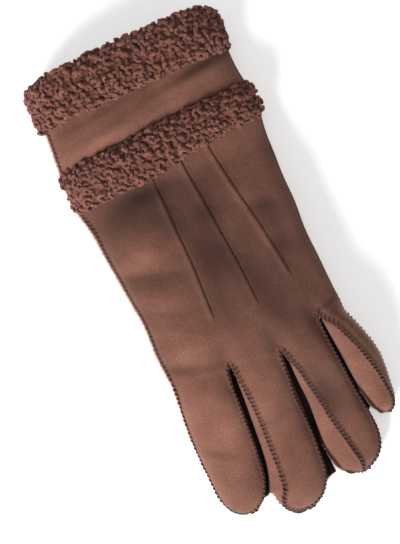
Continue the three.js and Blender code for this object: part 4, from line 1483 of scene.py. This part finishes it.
def roll(rows):
    """The section of a band: its share of the length and its height, a rounded roll."""
    turn = np.pi * np.linspace(0, 1, rows)
    lengthwise = 0.5 - 0.5 * np.sign(np.cos(turn)) * np.abs(np.cos(turn)) ** 0.7
    return lengthwise, PILE * np.sin(turn) ** 0.5


def even_columns(points, count, closed):
    """The rows of a grid measured again in even steps."""
    fresh = []
    for row in points:
        arc = arc_length(row)
        fresh.append(along_line(row, arc, np.linspace(0, arc[-1], count + 1 if closed else count)))
    fresh = np.array(fresh)
    return fresh[:, :-1] if closed else fresh


def make_band(name, node, outer, inner, depth, closed):
    """A sheet of fleece, with values that tell its pile from its back, and how far out each point is, which
    paints the hollows between its knots in shade.
    """
    numbers = number_grid(outer)
    # Painted shade: the knots' tops are painted lighter and the hollows between them darker
    floats = {"tip": np.clip(depth, 0, 1).ravel() * BAND_TONE, "pile": np.ones(numbers.size)}
    band = closed_sheet(name, outer, inner, grid_faces(numbers, closed), fleece, floats)
    return stand_in(band, "fleece", node)


print("the grid of the fleece has steps of", round(FLEECE_STEP / MM, 2), "mm")

# %% The band round the mouth
SIDE_PRESS = 0.65
TRIAL_COLUMNS = 500
MOUTH_SECTION = 1.3


def mouth_band(along_share, out):
    """Rows of points right round the sleeve."""
    round_way = np.linspace(0, 2, TRIAL_COLUMNS)
    side_top = round_way <= 1
    way = (1 - np.cos(np.pi * (round_way % 1))) / 2
    way[round_way == 1] = 1
    way[-1] = 1
    across = np.where(side_top, way, 1 - way)
    along = along_share[:, None] * (CUFF_TRIM_LENGTH - SEAM) + 0 * across
    pressed = 1 - SIDE_PRESS * np.abs(2 * across - 1) ** 8
    inset = -out[:, None] * np.where(out[:, None] > 0, pressed, 1)
    top = hand_point(along, across, TOP, inset)
    bottom = hand_point(along, across, BOTTOM, inset)
    points = np.where(side_top[:, None], top, bottom)
    points[..., 1] -= MOUTH_ROUND * np.abs(2 * across - 1) ** 6 * (1 - along_share[:, None])
    return points


cuff_rows = int(MOUTH_SECTION * CUFF_TRIM_LENGTH / FLEECE_STEP)
cuff_columns = int(2 * (SLEEVE_WIDTH + HAND_DEPTH) / FLEECE_STEP)
cuff_outer = even_columns(mouth_band(*roll(cuff_rows)), cuff_columns, True)
normals = grid_normals(cuff_outer, True)
middle_row = cuff_rows // 2
from_centre = (cuff_outer[middle_row] - [0, 0, HAND_DEPTH / 2]) * [1, 0, 1]
if np.mean(np.sum(normals[middle_row] * from_centre, axis=-1)) < 0:
    normals = -normals
cuff_outer, cuff_depth = knots(cuff_outer, normals, KNOT_HEIGHT, 11)
cuff_outer[..., 2] = np.maximum(cuff_outer[..., 2], 0)
cuff_inner = mouth_band(np.linspace(0, 1, cuff_rows), np.full(cuff_rows, -WALL))
cuff_inner = even_columns(cuff_inner, cuff_columns, True)
cuff_inner, _ = knots(cuff_inner, grid_normals(cuff_inner, True), KNOT_HEIGHT / 2, 12)
cuff_band = make_band("cuff_fleece", "cuff_trim", cuff_outer, cuff_inner, cuff_depth, True)

# %% The band across the back
OVERHANG = 1.0 * MM
WRIST_TRIAL_COLUMNS = 300
WRIST_SECTION = 1.35
WRIST_GIRTH = 1.2
INNER_SPAN = (0.06, 0.94)
# Where the pile is caught in a seam: how much of its height it keeps at both sides and at its upper edge
CAUGHT_NEAR, CAUGHT_FAR, CAUGHT_UPPER = 0.1, 0.45, 0.6


def wrist_band(along_share, out):
    """Rows of points from side seam to side seam across the back."""
    across = (1 - np.cos(np.pi * np.linspace(0, 1, WRIST_TRIAL_COLUMNS))) / 2
    along = lerp(band_start(across), back_edge(across) + OVERHANG, along_share[:, None])
    caught = lerp(CAUGHT_NEAR, 1, smooth(0, 0.1, across)) * lerp(1, CAUGHT_FAR, smooth(0.92, 1, across))
    caught = caught * lerp(CAUGHT_UPPER, 1, smooth(0, 0.4, along_share))[:, None]
    inset = np.where(out[:, None] > 0, -out[:, None] * caught, -out[:, None] + 0 * across)
    return hand_point(along, across, TOP, inset)


wrist_rows = int(WRIST_SECTION * WRIST_TRIM_LENGTH / FLEECE_STEP)
wrist_columns = int(WRIST_GIRTH * SLEEVE_WIDTH / FLEECE_STEP)
wrist_outer = even_columns(wrist_band(*roll(wrist_rows)), wrist_columns, False)
normals = grid_normals(wrist_outer, False)
if normals[wrist_rows // 2, wrist_columns // 2, 2] < 0:
    normals = -normals
wrist_outer, wrist_depth = knots(wrist_outer, normals, KNOT_HEIGHT, 21)
wrist_inner = wrist_band(np.linspace(*INNER_SPAN, wrist_rows), np.full(wrist_rows, -WALL))
wrist_inner = even_columns(wrist_inner, wrist_columns, False)
wrist_piece = make_band("wrist_fleece", "wrist_trim", wrist_outer, wrist_inner, wrist_depth, False)

# %% [markdown]
# ## Curls
#
# A curl is half a turn of a yarn. The tree scatters places over the pile, which an attribute tells apart from
# the inner face, and stands a curl on each with a random spin, tilt and size. Afterwards every point of the
# yarn gets a value that says how near the tip of the pile it lies, and the material paints the low yarn in
# the crevices dark as painted shade and the high yarn light.

# %% A node tree that scatters curls
CURL_TILT = 0.3
CURL_SPIN = 3.14
CURL_SIZES = (0.7, 1.2)
CURL_TURNS = 0.5
CURL_STEPS = 12
YARN_SIDES = 7
MOST_PLACES = 3e6


def curl_tree(name, material, **sizes):
    tree, given, output = new_tree(name, **sizes)
    scatter = tree.nodes.new("GeometryNodeDistributePointsOnFaces")
    scatter.distribute_method = "POISSON"
    pile = named_attribute(tree, "pile", "FLOAT")
    set_inputs(tree, scatter, Mesh=given["Geometry"], Selection=pile, Seed=given["Seed"])
    set_inputs(tree, scatter, Distance_Min=given["Spacing"], Density_Max=MOST_PLACES)
    spiral = add_node(tree, "GeometryNodeCurveSpiral", Resolution=CURL_STEPS, Rotations=CURL_TURNS)
    set_inputs(tree, spiral, Start_Radius=given["Curl radius"], End_Radius=given["Curl end"])
    set_inputs(tree, spiral, Height=given["Curl height"])
    yarn = round_strand(tree, spiral.outputs["Curve"], YARN_SIDES, given["Yarn radius"])
    tilt = add_node(tree, "FunctionNodeRandomValue", Seed=given["Seed"])
    tilt.data_type = "FLOAT_VECTOR"
    tilt.inputs[0].default_value = (-CURL_TILT, -CURL_TILT, -CURL_SPIN)
    tilt.inputs[1].default_value = (CURL_TILT, CURL_TILT, CURL_SPIN)
    turned = tree.nodes.new("FunctionNodeRotateRotation")
    turned.rotation_space = "LOCAL"
    set_inputs(tree, turned, Rotation=scatter.outputs["Rotation"], Rotate_By=tilt.outputs[0])
    size = chance(tree, *CURL_SIZES, given["Seed"])
    curls = on_places(tree, scatter.outputs["Points"], yarn, turned.outputs["Rotation"], size)
    finish_tree(tree, output, curls, material)
    return tree


print("a curl has", CURL_STEPS, "steps for each of its turns, and", YARN_SIDES, "sides")

# %% Curls on both bands
# Painted shade: yarn at the band's surface gets this tone, rising to full light over this height above it
CREVICE_TONE = 0.2
TIP_HEIGHT = 2.2 * MM


def make_curls(name, band, spacing, seed):
    piece = link_object(name, band.data.copy())
    tree = curl_tree(
        name,
        fleece,
        Spacing=spacing,
        Curl_radius=1.95 * MM,
        Curl_end=1.3 * MM,
        Curl_height=0.9 * MM,
        Yarn_radius=1.15 * MM,
        Seed=seed,
    )
    run_tree(piece, tree)
    points = np.empty(len(piece.data.vertices) * 3, dtype=np.float32)
    piece.data.vertices.foreach_get("co", points)
    points = points.reshape(-1, 3)
    points[:, 2] = np.maximum(points[:, 2], 0)
    piece.data.vertices.foreach_set("co", points.ravel())
    nearest = search_tree([v.co for v in band.data.vertices])
    normal = [v.normal.copy() for v in band.data.vertices]
    found = [nearest.find(p) for p in points]
    lift = np.array([(Vector(p) - hit[0]).dot(normal[hit[1]]) for p, hit in zip(points, found)])
    if "tip" in piece.data.attributes:
        piece.data.attributes.remove(piece.data.attributes["tip"])
    # Painted shade: yarn low in the pile is painted dark, yarn high on it light
    layer = piece.data.attributes.new("tip", "FLOAT", "POINT")
    layer.data.foreach_set("value", np.clip(CREVICE_TONE + lift / TIP_HEIGHT, 0, 1).astype(np.float32))
    return stand_in(piece, "fleece")


make_curls("cuff_curls", cuff_band, 2.9 * MM, 7)
make_curls("wrist_curls", wrist_piece, 2.8 * MM, 9)

# %% [markdown]
# ## Light, floor and camera
#
# The glove is seen from straight above, turned so that its fingers point down and to the right. A large soft
# light stands low on the side of the index finger and the fingertips, so the far sides of the fingers fall
# into shade, and a pale world fills those shadows. The floor is a pale sheet that glows a little.

# %% Floor and lights
FLOOR_SIZE = 3.0
FLOOR_DROP = 0.01 * MM
FLOOR_COLOUR = (0.92, 0.92, 0.92, 1)
FLOOR_GLOW = 0.42
WHITE = (1, 1, 1, 1)
WORLD_STRENGTH = 0.36


def make_floor():
    mesh = bpy.data.meshes.new("floor")
    corners = [(x * FLOOR_SIZE, y * FLOOR_SIZE, -FLOOR_DROP) for x, y in ((-1, -1), (1, -1), (1, 1), (-1, 1))]
    mesh.from_pydata(corners, [], [(0, 1, 2, 3)])
    material, surface = shader("floor", 0.9)
    surface.inputs["Base Color"].default_value = FLOOR_COLOUR
    surface.inputs["Emission Color"].default_value = WHITE
    surface.inputs["Emission Strength"].default_value = FLOOR_GLOW
    mesh.materials.append(material)
    floor = link_object("floor", mesh)


def add_light(name, place_at, size, energy):
    """A round soft light that looks at the middle of the glove."""
    light = bpy.data.lights.new(name, "AREA")
    light.shape, light.size, light.energy = "DISK", size, energy
    lamp = link_object(name, light)
    lamp.location = place_at
    lamp.rotation_euler = (-Vector(place_at)).to_track_quat("-Z", "Y").to_euler()


make_floor()
add_light("key", (-0.9, -0.62, 0.72), size=0.6, energy=27)
add_light("fill", (0.1, 0.3, 1.6), size=1.2, energy=3)
world = bpy.data.worlds.new("studio")
world.use_nodes = True
set_inputs(world.node_tree, world.node_tree.nodes["Background"], Color=WHITE, Strength=WORLD_STRENGTH)
bpy.context.scene.world = world

# %% Camera
VIEW_TURN = np.radians(-25)
VIEW_CENTRE = (-10.6 * MM, 6.3 * MM)
PICTURE_HEIGHT = 544
PIXEL = 0.55
LENS, SENSOR = 100.0, 36.0
EYE_LEVEL = 25 * MM

frame_height = PICTURE_HEIGHT * PIXEL * MM
camera_data = bpy.data.cameras.new("camera")
camera_data.lens, camera_data.sensor_width = LENS, SENSOR
camera = link_object("camera", camera_data)
camera.location = (*VIEW_CENTRE, EYE_LEVEL + frame_height * LENS / SENSOR)
camera.rotation_euler = Euler((0, 0, VIEW_TURN))
bpy.context.scene.camera = camera
bpy.context.scene.view_settings.view_transform = "Standard"
print("camera height in mm:", round(camera.location.z / MM))
